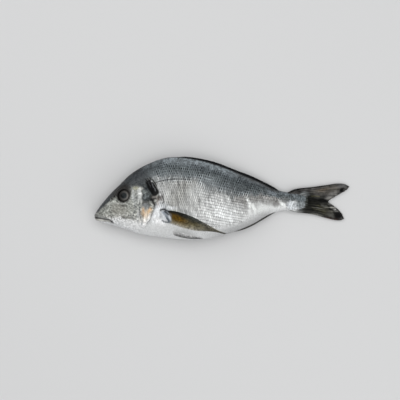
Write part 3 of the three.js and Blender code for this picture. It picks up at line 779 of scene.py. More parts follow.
def blotch_mask(x, y):
    along, across = turned(x, y, BLOTCH["middle"], BLOTCH["turn"])
    ragged = 5 * noise(along, across, (5, 0.8), 31) * fall(-5, 5, along)
    share = np.hypot(along / (BLOTCH["radii"][0] + ragged), across / (BLOTCH["radii"][1] + 0.2 * ragged))
    blotch = np.maximum(fall(0.84, 1.12, share), spot(x, y, **BLOTCH_FOOT))
    turn = math.radians(BLOTCH["turn"])
    tooth = BLOTCH_TOOTH["length"] * np.array([math.cos(turn), math.sin(turn)])
    for tip in BLOTCH_TEETH:
        drawn = stroke(x, y, [tip, tip + tooth], BLOTCH_TOOTH["width"])
        blotch = np.maximum(blotch, BLOTCH_TOOTH["strength"] * drawn)
    return blotch


def skin_tone(x, y):
    """Colour of the skin on either flank, without its scales."""
    blend = 0.8 + 9 * rise(16, 27, y)
    behind = rise(-1, 1, (x - gill_edge_at(y)) / blend)[..., None]
    colour = head_tone(x, y) * (1 - behind) + flank_tone(x, y) * behind
    colour = paint(colour, BLOTCH_BLACK, blotch_mask(x, y))
    colour = marked_unevenly(x, y, colour, [], BLOTCH_STREAKS)
    # The tail's root turns grey, with painted glints, and then dark.
    rear = x + 3 * cloud(x, y, 2, 33) - 0.02 * y**2
    colour = paint(colour, (98, 105, 108), 0.85 * rise(215, 219, rear))
    glints = noise(x, y, (0.9, 3), 35) + cloud(x, y, 1.3, 36)
    colour = shaded(colour, 1 + 0.7 * rise(204, 208, x) * glints)
    return paint(colour, (52, 54, 50), rise(225.6, 228.6, rear))


def scale_marks(x, y):
    """How strongly the scales show: their relief, the painted shade along their edges, and the dark bars on
    back and side.
    """
    height = share_of_side(x, y, dark_line_at(x))
    scaled = rise(-1, 3, x - gill_edge_at(y) - 6 * rise(20, 30, y)) * (1 - 0.7 * rise(0.85, 0.98, height))
    on_side = window(height, -1, -0.7, -0.1, 0.15)
    at_rear = rise(156, 176, x)
    net = on_side * (0.1 + 0.45 * rise(95, 125, x)) * (1 - fall(-0.3, -0.1, height) * at_rear)
    net = (0.35 + net) * (1 - 0.6 * fall(-0.4, -0.2, height) * at_rear)
    net *= 0.15 + 0.85 * rise(-0.95, -0.7, height)
    dash = window(height, -0.2, 0.1, 0.68, 0.85) * (0.5 + 0.5 * rise(-0.2, 0.2, cloud(x, y, 5, 45)))
    stripe = on_side * fall(100, 130, x) * rise(-0.6, -0.4, height)
    return {"scaled": scaled, "net": net * scaled, "dash": dash * scaled, "stripe": stripe * scaled}


# ---- the body

HEAD_RINGS = 150
# Rings that crowd round the gill cover's edge, by their way past it.
GILL_RINGS = [
    -2.6, -2, -1.5, -1.1, -0.8, -0.5, -0.25, -0.08, 0.08, 0.3, 0.6, 1, 1.5, 2.1, 2.8, 3.6, 4.5, 5.3, 6,
]
REAR_RINGS = 298
RING_CROWDING = 1.4  # above 1, the head's rings crowd towards the snout
FLANK_POINTS = 200
PREOPERCLE = [(47.6, 3), (48.8, -6), (49.4, -15), (46, -21), (38, -24)]
CHEEK_BONE = [(22, -3.5), (28, -5.5), (36, -5), (41, 0), (42.5, 8)]
# Grooves on the head: depth, width, points.
HEAD_GROOVES = [(0.45, 1.1, PREOPERCLE), (0.3, 1.2, CHEEK_BONE), (0.6, 0.8, MOUTH_LINE)]
NOSTRIL_DEPTH = 0.9
SOCKET_DEPTH = 3
SOCKET_RIM = {"height": 0.5, "off": 1.2, "width": 0.9}
PECTORAL_ROOT = {"middle": (77, -14.5), "radii": (6.5, 7.5), "turn": 20, "soft": 0.5}


def ring_stations():
    front, back = GILL_STATION + GILL_RINGS[0], GILL_STATION + GILL_RINGS[-1]
    head = front * (np.arange(1, HEAD_RINGS + 1) / (HEAD_RINGS + 1)) ** RING_CROWDING
    rear = back + (BODY_LENGTH - back) * np.arange(1, REAR_RINGS + 1) / REAR_RINGS
    return np.concatenate([head, GILL_STATION + np.array(GILL_RINGS), rear])


def even_angles(x, start):
    """Angles over half a turn that space their points evenly round the ring at x."""
    fine = np.linspace(start, start + math.pi, 400)
    steps = np.linalg.norm(np.diff(body_point(x, fine), axis=0), axis=1)
    way = np.concatenate([[0], np.cumsum(steps)])
    return np.interp(np.arange(FLANK_POINTS) / FLANK_POINTS * way[-1], way, fine)


def bent_stations(station, angle):
    """Bends the rings near the gill cover so that they run along its rear edge."""
    edge_y = body_point(GILL_STATION, angle)[..., 1]
    share = fall(0, GILL_BEND_REACH, np.abs(station - GILL_STATION))
    return station + (gill_edge_at(edge_y) - GILL_STATION) * share


def gill_relief(x, y):
    past = x - gill_edge_at(y)
    swell = GILL_LIFT * rise(*GILL_SWELL, past)
    droop = (GILL_LIFT - GILL_LIP) * rise(GILL_SWELL[1], 0, past)
    slot = -GILL_SLOT * np.exp(-np.maximum(past, 0) / GILL_SLOT_REACH)
    return np.where(past < 0, swell - droop, slot) * window(y, *GILL_LOW, *GILL_HIGH)


def eye_relief(x, y):
    off = np.hypot(x - EYE["x"], y - EYE["y"]) - EYE["radius"]
    rim = SOCKET_RIM["height"] * bell(off - SOCKET_RIM["off"], SOCKET_RIM["width"])
    return rim - SOCKET_DEPTH * fall(-0.6, 0.3, off)


def head_relief(x, y):
    relief = gill_relief(x, y) + eye_relief(x, y)
    for depth, width, points in HEAD_GROOVES:
        relief -= depth * stroke(x, y, points, width)
    for middle, radii in NOSTRILS:
        relief -= NOSTRIL_DEPTH * spot(x, y, middle, radii, NOSTRIL_TURN)
    return relief


def flank_relief(x, y, scaled, column, row):
    dents = 0.3 * noise(x, y, (16, 12), 41) + 0.1 * noise(x, y, (6, 5), 42)
    dents *= rise(2, 12, x - gill_edge_at(y)) * fall(180, 215, x)
    pectoral_root = 0.9 * spot(x, y, **PECTORAL_ROOT) - 0.5 * stroke(x, y, PECTORAL_GROOVE, 0.9)
    scales = SCALE_RELIEF * (scale_height(column, row) - 0.4) + 0.12 * bell(y - lateral_at(x), 0.7)
    return dents + pectoral_root + scaled * scales


def rows_of_scales(x, y, way, whole):
    """Rows of scales above (or below) the lateral line, counted round the ring on either flank."""
    from_belly = way.copy()
    from_belly[:, FLANK_POINTS:] = whole - way[:, FLANK_POINTS:]
    row = np.zeros_like(y)
    for flank in (slice(0, FLANK_POINTS), slice(FLANK_POINTS, None)):
        for i in range(len(y)):
            order = np.argsort(y[i, flank])
            line = np.interp(lateral_at(x[i, flank]), y[i, flank][order], from_belly[i, flank][order])
            row[i, flank] = (from_belly[i, flank] - line) / scale_row_at(x[i, flank])
    return row


def body_pieces(material):
    """The skin of both flanks, which meet along the back and the belly."""
    stations = ring_stations()
    quarter = math.pi / 2
    angles = np.stack([np.concatenate([even_angles(x, -quarter), even_angles(x, quarter)]) for x in stations])
    x = bent_stations(stations[:, None], angles)
    plain = body_point(x, angles)
    y = plain[..., 1]
    steps = np.linalg.norm(np.diff(plain[..., 1:], axis=1, append=plain[:, :1, 1:]), axis=-1)
    way = np.cumsum(steps, axis=1)
    row = rows_of_scales(x, y, way - steps, way[:, -1:]) + 0.5 * cloud(x, y, 7, 43)
    column = scale_column(x) + 0.9 * cloud(x, y, 9, 44)
    marks = scale_marks(x, y)
    relief = head_relief(x, y) + flank_relief(x, y, marks["scaled"], column, row)
    points = plain + body_normal(x, angles) * relief[..., None]
    points[:, FLANK_POINTS + 1:, 2] = rest_on(points[:, FLANK_POINTS + 1:, 2])
    around = np.roll(points, -1, axis=1) - np.roll(points, 1, axis=1)
    normals = unit(np.cross(np.gradient(points, axis=0), around))
    fields = {"tone": skin_tone(x, y), "scale_column": column, "scale_row": row, **marks}
    for name, first in (("skin_left", 0), ("skin_right", FLANK_POINTS)):
        columns = np.arange(first, first + FLANK_POINTS + 1) % (2 * FLANK_POINTS)
        skin_piece(name, points[:, columns], normals[:, columns],
                   {key: field[:, columns] for key, field in fields.items()}, material)


def skin_piece(name, points, normals, fields, material):
    """One flank's skin, closed at the snout and at the tail by a point of its own."""
    numbers = point_numbers(*points.shape[:2])
    faces = [face[::-1] for face in quads(numbers)]
    faces += fan(numbers[0], numbers.size) + fan(numbers[-1, ::-1], numbers.size + 1)
    snout = body_point(np.zeros(1), 0)
    tail = [[BODY_LENGTH, widest_at(BODY_LENGTH), spine_at(BODY_LENGTH)]]

    def listed(field):
        return field.reshape(-1, *field.shape[2:])

    make_piece(
        name, np.concatenate([listed(points), snout, tail]), faces, material, "fish",
        {key: np.concatenate([listed(field), listed(field)[[0, -1]]]) for key, field in fields.items()},
        np.concatenate([listed(normals), [(-1, 0, 0), (1, 0, 0)]]),
    )


def skin_material():
    shader = Shader("fish_skin")
    height, phase, off, chance = scale_nodes(shader)
    net, dash, stripe, scaled, row = shader.attributes("net", "dash", "stripe", "scaled", "scale_row")
    grain = shader.noise(1100, 3)
    # Painted shade where each scale slips under the free edge of the one before it, and dark lines between
    # the rows, then light and dark scales, then specks.
    between_rows = shader.map(abs(shader.fraction(row) - 0.5), 0.06, 0.22, 1, 0)
    dark = shader.map(height, -0.15, 0.4, 1, 0) * net * 0.55
    dark = dark + between_rows * shader.map(net, 0.3, 0.9, 0, 0.45)
    shade = 1 - dark + (chance - 0.5) * shader.map(net, 0.34, 0.48, 0.05, 0.4) + (grain - 0.5) * 0.4
    shade = shade + (shader.noise(520, 5) - 0.5) * (1.3 - scaled * 0.9)
    # A dark bar at the front of a scale, and on the back a pale fleck at its rear.
    bar = shader.map(abs(phase - 0.25), 0.12, 0.4, 1, 0) * shader.map(off, 0.2, 0.7, 1, 0)
    bar = bar * (dash + stripe * 0.45) * shader.map(chance, 0.0, 0.7, 0.1, 1.0)
    fleck = shader.map(abs(phase - 0.75), 0.1, 0.32, 1, 0) * dash * shader.map(chance, 0.3, 0.9, 0.0, 0.7)
    colour = shader.mix(bar, shader.shaded(shader.tone(), shade + fleck), linear(14, 17, 20))
    relief = shader.bump(grain, 0.00005, Normal=shader.bump(height * scaled, 0.00012))
    return shader.finish(
        Base_Color=colour, Metallic=0.2, Roughness=shader.map(grain, 0.3, 0.7, 0.26, 0.44), Normal=relief,
        Specular_IOR_Level=0.08, Coat_Weight=0.08, Coat_Roughness=0.12,
    )


# ---- fins

TAIL_RAYS = 14
TAIL_ROOT_HALF = 2.2
TAIL_MARGIN_HALF = 0.5
TAIL_RAY_HEIGHT = 0.6
TAIL_CLEARANCE = 0.2
FIN_TIP_LIFT = 0.7
FIN_RAY_HEIGHT = 0.25
FIN_DEPTH = 1.2
FIN_CLEARANCE = 0.3
FIN_LEAST_HALF = 0.4
OUTLINE_MARGIN = 0.6
MIDLINE_FIN = {
    "depth": 3.0, "half": 0.45, "root_half": 1.0, "ray_height": 0.22, "spacing": 6.5, "lean": 4, "taper": 14,
    "grid": (420, 12),
}

# Tones along the back's and the belly's fins, over the tail's height, and across the flanks' fins.
DORSAL_TONES = [(86, (84, 88, 91)), (95, (44, 46, 48)), (106, (12, 13, 14)), (198, (9, 10, 11))]
ANAL_TONES = [(148, (130, 130, 128)), (158, (66, 65, 63)), (196, (66, 65, 63))]
TAIL_TONES = [
    (-20, (46, 45, 44)), (-8, (36, 36, 33)), (2, (42, 42, 39)), (8, (66, 65, 63)), (20, (76, 74, 72)),
]
PECTORAL_FRONT_TONES = [
    (0, (22, 24, 22)), (0.26, (32, 32, 27)), (0.38, (66, 54, 27)), (0.5, (80, 65, 31)),
    (0.68, (110, 97, 66)), (0.84, (140, 132, 112)), (1, (168, 165, 158)),
]
PECTORAL_REAR_TONES = [
    (0, (74, 76, 73)), (0.2, (62, 62, 54)), (0.44, (92, 86, 64)), (0.66, (122, 117, 97)),
    (0.88, (148, 144, 131)), (1, (180, 179, 174)),
]
PELVIC_TONES = [(0, (196, 196, 196)), (0.3, (170, 170, 169)), (0.7, (128, 128, 127)), (1, (106, 106, 105))]
# Patches and lines in the same order as on the head.
TAIL_PATCHES = [
    ((16, 17, 11), 0.95, (232, 3.4), (6.4, 6.8), 0, 0.6),
    ((16, 16, 12), 0.9, (237.4, -4.4), (10, 5.5), -14, 0.6),
    ((60, 58, 48), 0.6, (249, -10), (8, 3.4), -24, 0.6),
    ((98, 94, 88), 0.8, (251, 12.8), (13, 4), 10, 0.6),
    ((118, 116, 113), 0.8, (254.6, 6.4), (8, 2.8), 36, 0.6),
    ((140, 138, 134), 0.85, (257.2, -6), (5.6, 1.6), -46, 0.6),
    ((176, 175, 172), 0.9, (260.4, -9), (2.8, 1.0), -26, 0.6),
    ((100, 88, 74), 0.5, (246, 13), (6, 1.6), 8, 0.6),
    ((88, 87, 83), 0.75, (254.6, -14.4), (5, 3), -30, 0.6),
    ((108, 107, 101), 0.8, (248, -4.6), (4, 1.7), -30, 0.7),
    ((116, 119, 119), 0.8, (225.6, 8.8), (4.4, 2.6), 6, 0.7),
    ((92, 91, 91), 0.8, (267.6, 17.6), (6, 2.6), 0, 0.5),
    ((5, 5, 7), 0.97, (266.8, 12.6), (2.9, 1.7), 48, 0.4),
    ((0, 0, 2), 1.0, (247.2, 1.4), (5, 2), -8, 0.4),
    ((12, 12, 13), 1.0, (262.6, -14.2), (4.6, 3.3), -50, 0.5),
    ((74, 72, 71), 0.85, (266.8, -18.2), (3.6, 1.5), -8, 0.5),
]
TAIL_LINES = [
    ((6, 7, 8), 1.0, 1.8, [(206.5, 10.2), (212, 12), (219, 13.6)]),
    ((6, 7, 8), 0.9, 1.1, [(219, 14), (226, 15), (232, 15.6)]),
    ((40, 40, 39), 0.8, 0.9, [(230, 15.6), (248, 17.8), (259, 19.4)]),
    ((58, 57, 57), 0.7, 0.6, [(259, 19.4), (270, 18.8), (275, 16.4)]),
    ((12, 12, 10), 0.9, 1.1, [(228, 2.8), (238, 2.2), (248, 1.2)]),
    ((100, 96, 68), 0.5, 0.45, [(234, 6.4), (243, 5.8)]),
    ((98, 95, 72), 0.35, 0.45, [(238, -3.4), (250, -6.6)]),
    ((98, 95, 72), 0.4, 0.45, [(235, -6), (250, -11)]),
    ((92, 90, 70), 0.35, 0.45, [(236, -8.6), (252, -14)]),
    ((38, 36, 35), 0.7, 0.9, [(222, -11.4), (230, -12.6), (240, -14.2), (254, -18)]),
    ((98, 72, 62), 0.7, 0.6, [(250, -17.2), (256, -18.6), (262, -19.4)]),
]
TAIL_BLACK_TIP = {"middle": (263, -15), "radii": (7, 5), "turn": -24, "soft": 0.3}
PECTORAL_PATCHES = [
    ((94, 69, 15), 0.85, (89.6, -17.4), (8, 2.9), -26, 0.8),
    ((190, 190, 186), 0.85, (119, -31.6), (6, 1.1), -8, 0.5),
]
PECTORAL_LOBE = {"middle": (77.6, -16.2), "radii": (4.6, 6.6), "turn": 26}
PECTORAL_ROOT_PATCHES = [
    # Painted shade on the lower part of the root lobe.
    ((74, 82, 90), 0.85, (78.6, -19.4), (2.6, 3.4), 34, 0.8),
    ((222, 226, 229), 0.8, (80.8, -16), (1, 3.6), 22, 0.7),
]
PECTORAL_ROOT_LINES = [((34, 38, 42), 0.9, 0.8, [(72.5, -9.2), (76.4, -10.6), (80, -13.6)])]


def fin_plan(fin):
    """A fin's points x and y, with their ways from root to margin and from the first edge to the last."""
    rows, columns = fin["grid"]
    way, across = np.meshgrid(np.linspace(0, 1, rows), np.linspace(0, 1, columns), indexing="ij")
    u, v = way[..., None], across[..., None]
    plan = (1 - v) * line_through(fin["first"])(way) + v * line_through(fin["last"])(way)
    for share, edge in ((1 - u, fin["root"]), (u, fin["margin"])):
        plan += share * (line_through(edge)(across) - (1 - v) * edge[0] - v * edge[-1])
    return plan[..., 0], plan[..., 1], way, across


def ray_wave(ray, branched):
    """1 on a ray's ridge, 0 between two: each ray splits in two where branched is 1."""
    single, double = np.cos(2 * np.pi * ray), np.cos(4 * np.pi * ray)
    return (1 + single + (double - single) * branched) / 2


def fin_piece(name, x, y, heights, material, **fields):
    """A fin between two heights over its plan, with the same fields on both faces."""
    points, faces = shell(*(xyz(x, y, height) for height in heights))
    for key, field in fields.items():
        field = np.broadcast_to(field, x.shape) if np.ndim(field) < 3 else field
        fields[key] = np.concatenate([field, field]).reshape(len(points), *field.shape[2:])
    make_piece(name, points, faces, material, "fish", fields)


def tail_tone(x, y, way, across):
    colour = marked_unevenly(x, y, tones(TAIL_TONES, y), TAIL_PATCHES, TAIL_LINES)
    streaks = noise(across * 34, way * 60, (1, 14), 51)
    lower = fall(-5, 0, y) * rise(0.25, 0.5, way) * (1 - spot(x, y, **TAIL_BLACK_TIP))
    colour = paint(colour, (124, 123, 116), 0.45 * lower * rise(0.1, 0.35, streaks))
    colour = paint(colour, (150, 151, 150), fall(212, 228, x) * fall(-6, 2, y))
    mottle = 0.5 * cloud(x, y, 1.2, 52) + 0.7 * cloud(x, y, 2.6, 53)
    return shaded(colour, 1 + 1.2 * streaks + mottle)


def tail_fin(material):
    x, y, way, across = fin_plan(TAIL_FIN)
    ray = TAIL_RAYS * across
    branched = rise(0.35, 0.6, way)
    wave = ray_wave(ray, branched)
    from_edge = np.minimum(across, 1 - across)
    tips = np.random.default_rng(7).random(2 * TAIL_RAYS + 1)
    fray = 0.5 * (1 - wave) + 0.6 * tips[np.round(2 * ray).astype(int)]
    x = x - fray * rise(0.85, 1, way) * rise(0, 0.1, from_edge)
    sheet = TAIL_MARGIN_HALF + (TAIL_ROOT_HALF - TAIL_MARGIN_HALF) * (1 - way) ** 2
    half = sheet + TAIL_RAY_HEIGHT * wave * rise(0, 0.3, way) * (1 - 0.5 * way)
    half *= 0.5 + 0.5 * rise(0, 0.04, from_edge)
    middle = np.maximum(spine_at(x), half + TAIL_CLEARANCE)
    fin_piece(
        "tail_fin", x, y, (middle + half, middle - half), material, tone=tail_tone(x, y, way, across),
        ray=ray, branched=branched, way=way * 40, contrast=0.6 + 0.9 * fall(-2, 4, y),
    )


def pectoral_tone(x, y, way, across):
    frayed = across + 0.16 * cloud(x, y, 1.6, 63) + 0.1 * noise(across * 30, way * 60, (1, 6), 64)
    share = rise(0.2, 0.6, way)[..., None]
    colour = tones(PECTORAL_FRONT_TONES, frayed) * (1 - share) + tones(PECTORAL_REAR_TONES, frayed) * share
    colour = marked(x, y, colour, PECTORAL_PATCHES)
    colour = paint(colour, (146, 142, 128), 0.75 * rise(0.48, 0.8, way))
    colour = shaded(colour, 1 + 1.2 * cloud(x, y, 1.2, 61) * rise(0, 0.3, way))
    lobe = spot(x + 1.8 * cloud(x, y, 1.8, 62), y, **PECTORAL_LOBE)
    colour = paint(colour, (150, 157, 164), 0.95 * lobe)
    return marked(x, y, colour, PECTORAL_ROOT_PATCHES, PECTORAL_ROOT_LINES)


def pelvic_tone(x, y, way, across):
    mottle = 0.9 * cloud(x, y, 1.3, 66) + 0.8 * noise(across * 20, way * 60, (1, 9), 67)
    colour = shaded(tones(PELVIC_TONES, across), 1 + mottle)
    return paint(colour, (190, 190, 189), fall(0.02, 0.32, way + 0.2 * across))


def flank_fin(name, fin, tone, side, material):
    """A fin folded back against a flank."""
    x, y, way, across = fin_plan(fin)
    ray = fin["rays"] * across
    branched = rise(0.45, 0.7, way)
    y = np.maximum(y, belly_at(x) + OUTLINE_MARGIN)
    flank = flank_height(x, y, side)
    proud = fin["lift"] + (FIN_TIP_LIFT - fin["lift"]) * way - FIN_RAY_HEIGHT * (1 - ray_wave(ray, branched))
    proud *= rise(-0.12, 0.1, np.minimum(across, 1 - across)) * rise(-0.02, fin["lifted"], way)
    inner = flank - side * FIN_DEPTH
    outer = flank + side * proud
    if side < 0:
        outer = np.minimum(np.maximum(outer, FIN_CLEARANCE), inner - FIN_LEAST_HALF)
    fin_piece(
        name, x, y, (outer, inner), material, tone=tone(x, y, way, across),
        ray=ray, branched=branched, way=way * 60, contrast=0.6,
    )


def midline_fin(name, edge, outline_at, inward, stops, material):
    """A fin folded into the back or the belly: its spines lie one behind the other."""
    front, rear = edge[0][0], edge[-1][0]
    rows, columns = MIDLINE_FIN["grid"]
    x, out = np.meshgrid(np.linspace(front, rear, rows), np.linspace(0, 1, columns), indexing="ij")
    edge_y = curve_through(edge)(x)
    y = edge_y + (outline_at(x) + inward * MIDLINE_FIN["depth"] - edge_y) * out
    ray = (x - front + MIDLINE_FIN["lean"] * np.abs(y - edge_y)) / MIDLINE_FIN["spacing"]
    half = MIDLINE_FIN["half"] + MIDLINE_FIN["root_half"] * np.sqrt(out)
    half += MIDLINE_FIN["ray_height"] * ray_wave(ray, 0) * rise(0, 0.2, out)
    half *= 0.25 + 0.75 * rise(0, MIDLINE_FIN["taper"], np.minimum(x - front, rear - x))
    fin_piece(
        name, x, y, (spine_at(x) + half, spine_at(x) - half), material, tone=tones(stops, x),
        ray=ray, branched=0, way=x * 0.4, contrast=0.5,
    )


def fin_material():
    shader = Shader("fin_membrane")
    ray, branched, way, contrast = shader.attributes("ray", "branched", "way", "contrast")
    single, double = (shader.math("COSINE", ray * (turns * math.pi)) for turns in (2, 4))
    wave = single + (double - single) * branched
    joints = shader.map(abs(shader.fraction(way) - 0.5), 0.36, 0.48) * shader.map(wave, 0, 0.6)
    grain = shader.noise(900, 3)
    shade = 1 + wave * contrast * 0.35 - joints * contrast * 0.2 + (grain - 0.5) * 0.3
    return shader.finish(
        Base_Color=shader.shaded(shader.tone(), shade), Roughness=shader.map(grain, 0.3, 0.7, 0.3, 0.5),
        Normal=shader.bump(wave - joints * 0.4, 0.00012), Specular_IOR_Level=0.06, Coat_Weight=0.06,
        Coat_Roughness=0.2,
    )


# ---- lips

MOUTH_LENGTH = 17.5
MOUTH_DROP = 3.2
UPPER_LIP = {"radius": 2.1, "offset": 1.95, "front": 1.9, "tone": (120, 121, 118)}
LOWER_LIP = {"radius": 1.8, "offset": -1.65, "front": 2.5, "tone": (168, 167, 162)}
LIP_SUNK_SHARE = 0.35
LIP_PINCH = 0.62
LIP_FRONT_STATION = 4
LIP_END_SHARE = 0.35
LIP_RINGS = 161
LIP_SIDES = 32


def lip_line(lip, way):
    """The lip's middle line, from one corner of the mouth (-1) round the snout to the other (1)."""
    back = MOUTH_LENGTH * way**2
    y = MOUTH_HEIGHT - MOUTH_DROP * way**2 + lip["offset"] * (1 - LIP_PINCH * way**4)
    width_at = np.maximum(back, LIP_FRONT_STATION)
    share = (flank_height(width_at, y, 1) - spine_at(width_at)) / half_thickness_at(width_at)
    out = np.maximum(0, half_thickness_at(back) * share - lip["radius"] * LIP_SUNK_SHARE * np.abs(way))
    x = lip["front"] + (1 - lip["front"] / MOUTH_LENGTH) * back
    return xyz(x, y, spine_at(back) + np.sign(way) * out)


def lip_piece(name, lip, material):
    way = np.linspace(-1, 1, LIP_RINGS)
    angle = circle(LIP_SIDES)
    middle = lip_line(lip, way)
    forward = unit(np.gradient(middle, axis=0))
    outward = unit(np.cross(forward, [0, 1, 0]))
    upward = np.cross(outward, forward)
    folds = noise(30 * (way[:, None] + 1) + 0.6 * np.sin(angle), 3 * np.cos(angle), (1, 2), 72)
    fullness = LIP_END_SHARE + (1 - LIP_END_SHARE) * (1 - way**4)
    radius = lip["radius"] * fullness[:, None] * (0.975 - 0.05 * folds)
    around = np.cos(angle)[:, None] * outward[:, None] + np.sin(angle)[:, None] * upward[:, None]
    points, faces = tube(middle[:, None] + radius[..., None] * around)
    way = np.append(np.repeat(way, LIP_SIDES), (-1, 1))
    # The lips get painted shade towards the gap between them, and a random mottle.
    off_gap = np.abs(points[:, 1] - MOUTH_HEIGHT + MOUTH_DROP * way**2)
    shade = (0.4 + 0.6 * rise(0, 1.5, off_gap)) * (1 + 0.5 * cloud(points[:, 0], points[:, 2], 1.6, 71))
    colour = np.array(linear(*lip["tone"])) * shade[:, None]
    make_piece(name, points, faces, material, "fish", {"tone": colour})


def soft_skin_material():
    shader = Shader("lip_and_lid_skin")
    grain = shader.noise(700, 4)
    return shader.finish(
        Base_Color=shader.shaded(shader.tone(), 1 + (grain - 0.5) * 0.4),
        Roughness=shader.map(grain, 0.3, 0.7, 0.28, 0.5), Normal=shader.bump(grain, 0.0001),
        Specular_IOR_Level=0.15, Coat_Weight=0.15, Coat_Roughness=0.15,
    )


# ---- eyes

PUPIL_PLACE = (32.2, 6.8)
# Tones by the distance from the pupil's middle.
EYE_TONES = [
    (0.0, (5, 12, 14)), (1.2, (8, 17, 20)), (2.2, (22, 29, 31)), (3.0, (56, 57, 57)), (3.6, (96, 95, 92)),
    (4.2, (104, 101, 97)), (4.9, (80, 78, 74)), (5.6, (58, 56, 53)), (6.4, (66, 64, 61)),
]
EYE_FRONT_TILTS = np.linspace(0.02, 1, 60)  # quarter turns from the eye's outermost point
EYE_BACK_TILTS = np.linspace(1.06, 1.98, 16)
EYE_SIDES = 96
RIM_RINGS = 128
RIM_SIDES = 20


def flank_frame(side, sunk):
    """A place at the eye's middle on a flank, sunk into it: its centre and its axes, the last one outward."""
    x, y, step = EYE["x"], EYE["y"], 0.5

    def height(dx, dy):
        return float(flank_height(np.array(x + dx), np.array(y + dy), 1) - spine_at(x))

    slope_x = (height(step, 0) - height(-step, 0)) / (2 * step)
    slope_y = (height(0, step) - height(0, -step)) / (2 * step)
    normal = unit(np.array([-slope_x, -slope_y, 1.0]))
    centre = np.array([x, y, height(0, 0)]) - normal * sunk
    normal[2] *= side
    centre[2] = spine_at(x) + side * centre[2]
    rearward = unit(np.cross([0, 1, 0], normal))
    return centre, np.stack([rearward, np.cross(normal, rearward), normal])


def eyeball(side, word, material):
    centre, axes = flank_frame(side, EYE["sunk"])
    tilt = np.concatenate([EYE_FRONT_TILTS, EYE_BACK_TILTS])[:, None] * np.pi / 2
    turn = circle(EYE_SIDES)
    far = EYE["radius"] * np.sin(tilt)
    ball = xyz(far * np.cos(turn), far * np.sin(turn), EYE["depth"] * np.cos(tilt))
    points, faces = tube(centre + ball @ axes)
    dx, dy = points[:, 0] - PUPIL_PLACE[0], points[:, 1] - PUPIL_PLACE[1]
    far, about = np.hypot(dx, dy), np.arctan2(dy, dx)
    in_shade = (0.5 - 0.5 * np.cos(about + 0.15)) * rise(0.8, 2.6, far)
    fibres = 1 + 0.3 * noise(about * 6, far, (0.35, 2.5), 81)
    colour = shaded(tones(EYE_TONES, far), (1 - 0.88 * in_shade) * fibres)
    make_piece(f"eye_{word}_wet", points, faces, material, f"eye_{word}", {"tone": colour})


def eye_rim(side, word, material):
    centre, axes = flank_frame(side, EYE_RIM["sunk"])
    turn, angle = circle(RIM_RINGS)[:, None], circle(RIM_SIDES)
    thick = EYE_RIM["thickness"] * (0.9 + 0.1 * np.sin(turn * 9 + np.sin(turn * 4)))
    far = EYE_RIM["radius"] + thick * np.cos(angle)
    points = centre + xyz(far * np.cos(turn), far * np.sin(turn), thick * np.sin(angle)) @ axes
    points = points.reshape(-1, 3)
    faces = quads(np.pad(point_numbers(RIM_RINGS, RIM_SIDES), (0, 1), "wrap"))
    # The rim's inner side, where it turns into the socket, gets painted shade.
    away = np.tile(np.cos(angle), RIM_RINGS)
    colour = shaded(skin_tone(points[:, 0], points[:, 1]), 0.35 + 0.6 * rise(-1, 0.8, away))
    make_piece(f"eye_rim_{word}", points, faces, material, "fish", {"tone": colour})


def eye_material():
    shader = Shader("wet_eye")
    haze = shader.noise(260, 3)
    colour = shader.mix(shader.map(haze, 0.45, 0.8, 0, 0.03), shader.tone(), linear(120, 126, 130))
    return shader.finish(
        Base_Color=colour, Roughness=shader.map(haze, 0.3, 0.7, 0.12, 0.24),
        Specular_IOR_Level=0.07, Coat_Weight=0.13, Coat_Roughness=0.05,
    )


# ---- stage

FLOOR_REACH = 6.0
# The camera looks straight down. The picture's middle is this point of the fish, and it is this wide.
VIEW_MIDDLE = (113.3, 2.1)
VIEW_WIDTH = 429.7
VIEW_PLANE = 16.0
CAMERA_DISTANCE = 1.7
SENSOR_WIDTH = 36
# Round lamps that point at the origin: name, place, width, power.
LAMPS = [
    ("soft_box", (0.1, 0.1, 1.8), 2.4, 23.5),
    ("key_light", (-0.9, 1.0, 1.1), 1.2, 5.0),
    ("fill_light", (0.8, -1.1, 1.0), 1.2, 5.0),
]


def add_object(name, data):
    made = bpy.data.objects.new(name, data)
    bpy.context.collection.objects.link(made)
    return made


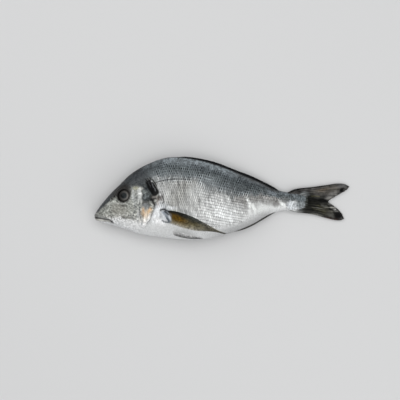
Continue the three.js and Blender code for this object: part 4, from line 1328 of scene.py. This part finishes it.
def floor():
    mesh = bpy.data.meshes.new("floor")
    corners = [(x * FLOOR_REACH, y * FLOOR_REACH, 0) for x, y in ((-1, -1), (1, -1), (1, 1), (-1, 1))]
    mesh.from_pydata(corners, [], [(0, 1, 2, 3)])
    mesh.materials.append(Shader("pale_floor").finish(Base_Color=linear(204, 204, 204), Roughness=0.7))
    add_object("floor", mesh)


def lights():
    world = bpy.data.worlds.new("soft_daylight")
    world.use_nodes = True
    sky = world.node_tree.nodes["Background"].inputs
    sky["Color"].default_value = (0.97, 0.985, 1.0, 1)
    sky["Strength"].default_value = 0.42
    bpy.context.scene.world = world
    for name, lamp_place, size, power in LAMPS:
        light = bpy.data.lights.new(name, "AREA")
        light.shape = "DISK"
        light.size = size
        light.energy = power
        lamp = add_object(name, light)
        lamp.location = lamp_place
        lamp.rotation_euler = (-lamp.location).to_track_quat("-Z", "Y").to_euler()


def camera():
    data = bpy.data.cameras.new("camera")
    data.sensor_width = SENSOR_WIDTH
    data.lens = SENSOR_WIDTH * CAMERA_DISTANCE / (VIEW_WIDTH * MM)
    data.clip_end = 50
    eye = add_object("camera", data)
    x, y, _ = place([*VIEW_MIDDLE, 0])
    eye.location = (x, y, VIEW_PLANE * MM + CAMERA_DISTANCE)
    bpy.context.scene.camera = eye


# ---- the scene

bpy.context.scene.view_settings.view_transform = "Standard"
camera()
floor()
lights()

body_pieces(skin_material())
fin_skin = fin_material()
tail_fin(fin_skin)
midline_fin("dorsal_fin", DORSAL_FIN_EDGE, back_at, -1, DORSAL_TONES, fin_skin)
midline_fin("anal_fin", ANAL_FIN_EDGE, belly_at, 1, ANAL_TONES, fin_skin)
soft_skin = soft_skin_material()
lip_piece("upper_lip", UPPER_LIP, soft_skin)
lip_piece("lower_lip", LOWER_LIP, soft_skin)
eye_skin = eye_material()
for side, word in ((1, "left"), (-1, "right")):
    flank_fin(f"pectoral_fin_{word}", PECTORAL_FIN, pectoral_tone, side, fin_skin)
    flank_fin(f"pelvic_fin_{word}", PELVIC_FIN, pelvic_tone, side, fin_skin)
    eyeball(side, word, eye_skin)
    eye_rim(side, word, soft_skin)
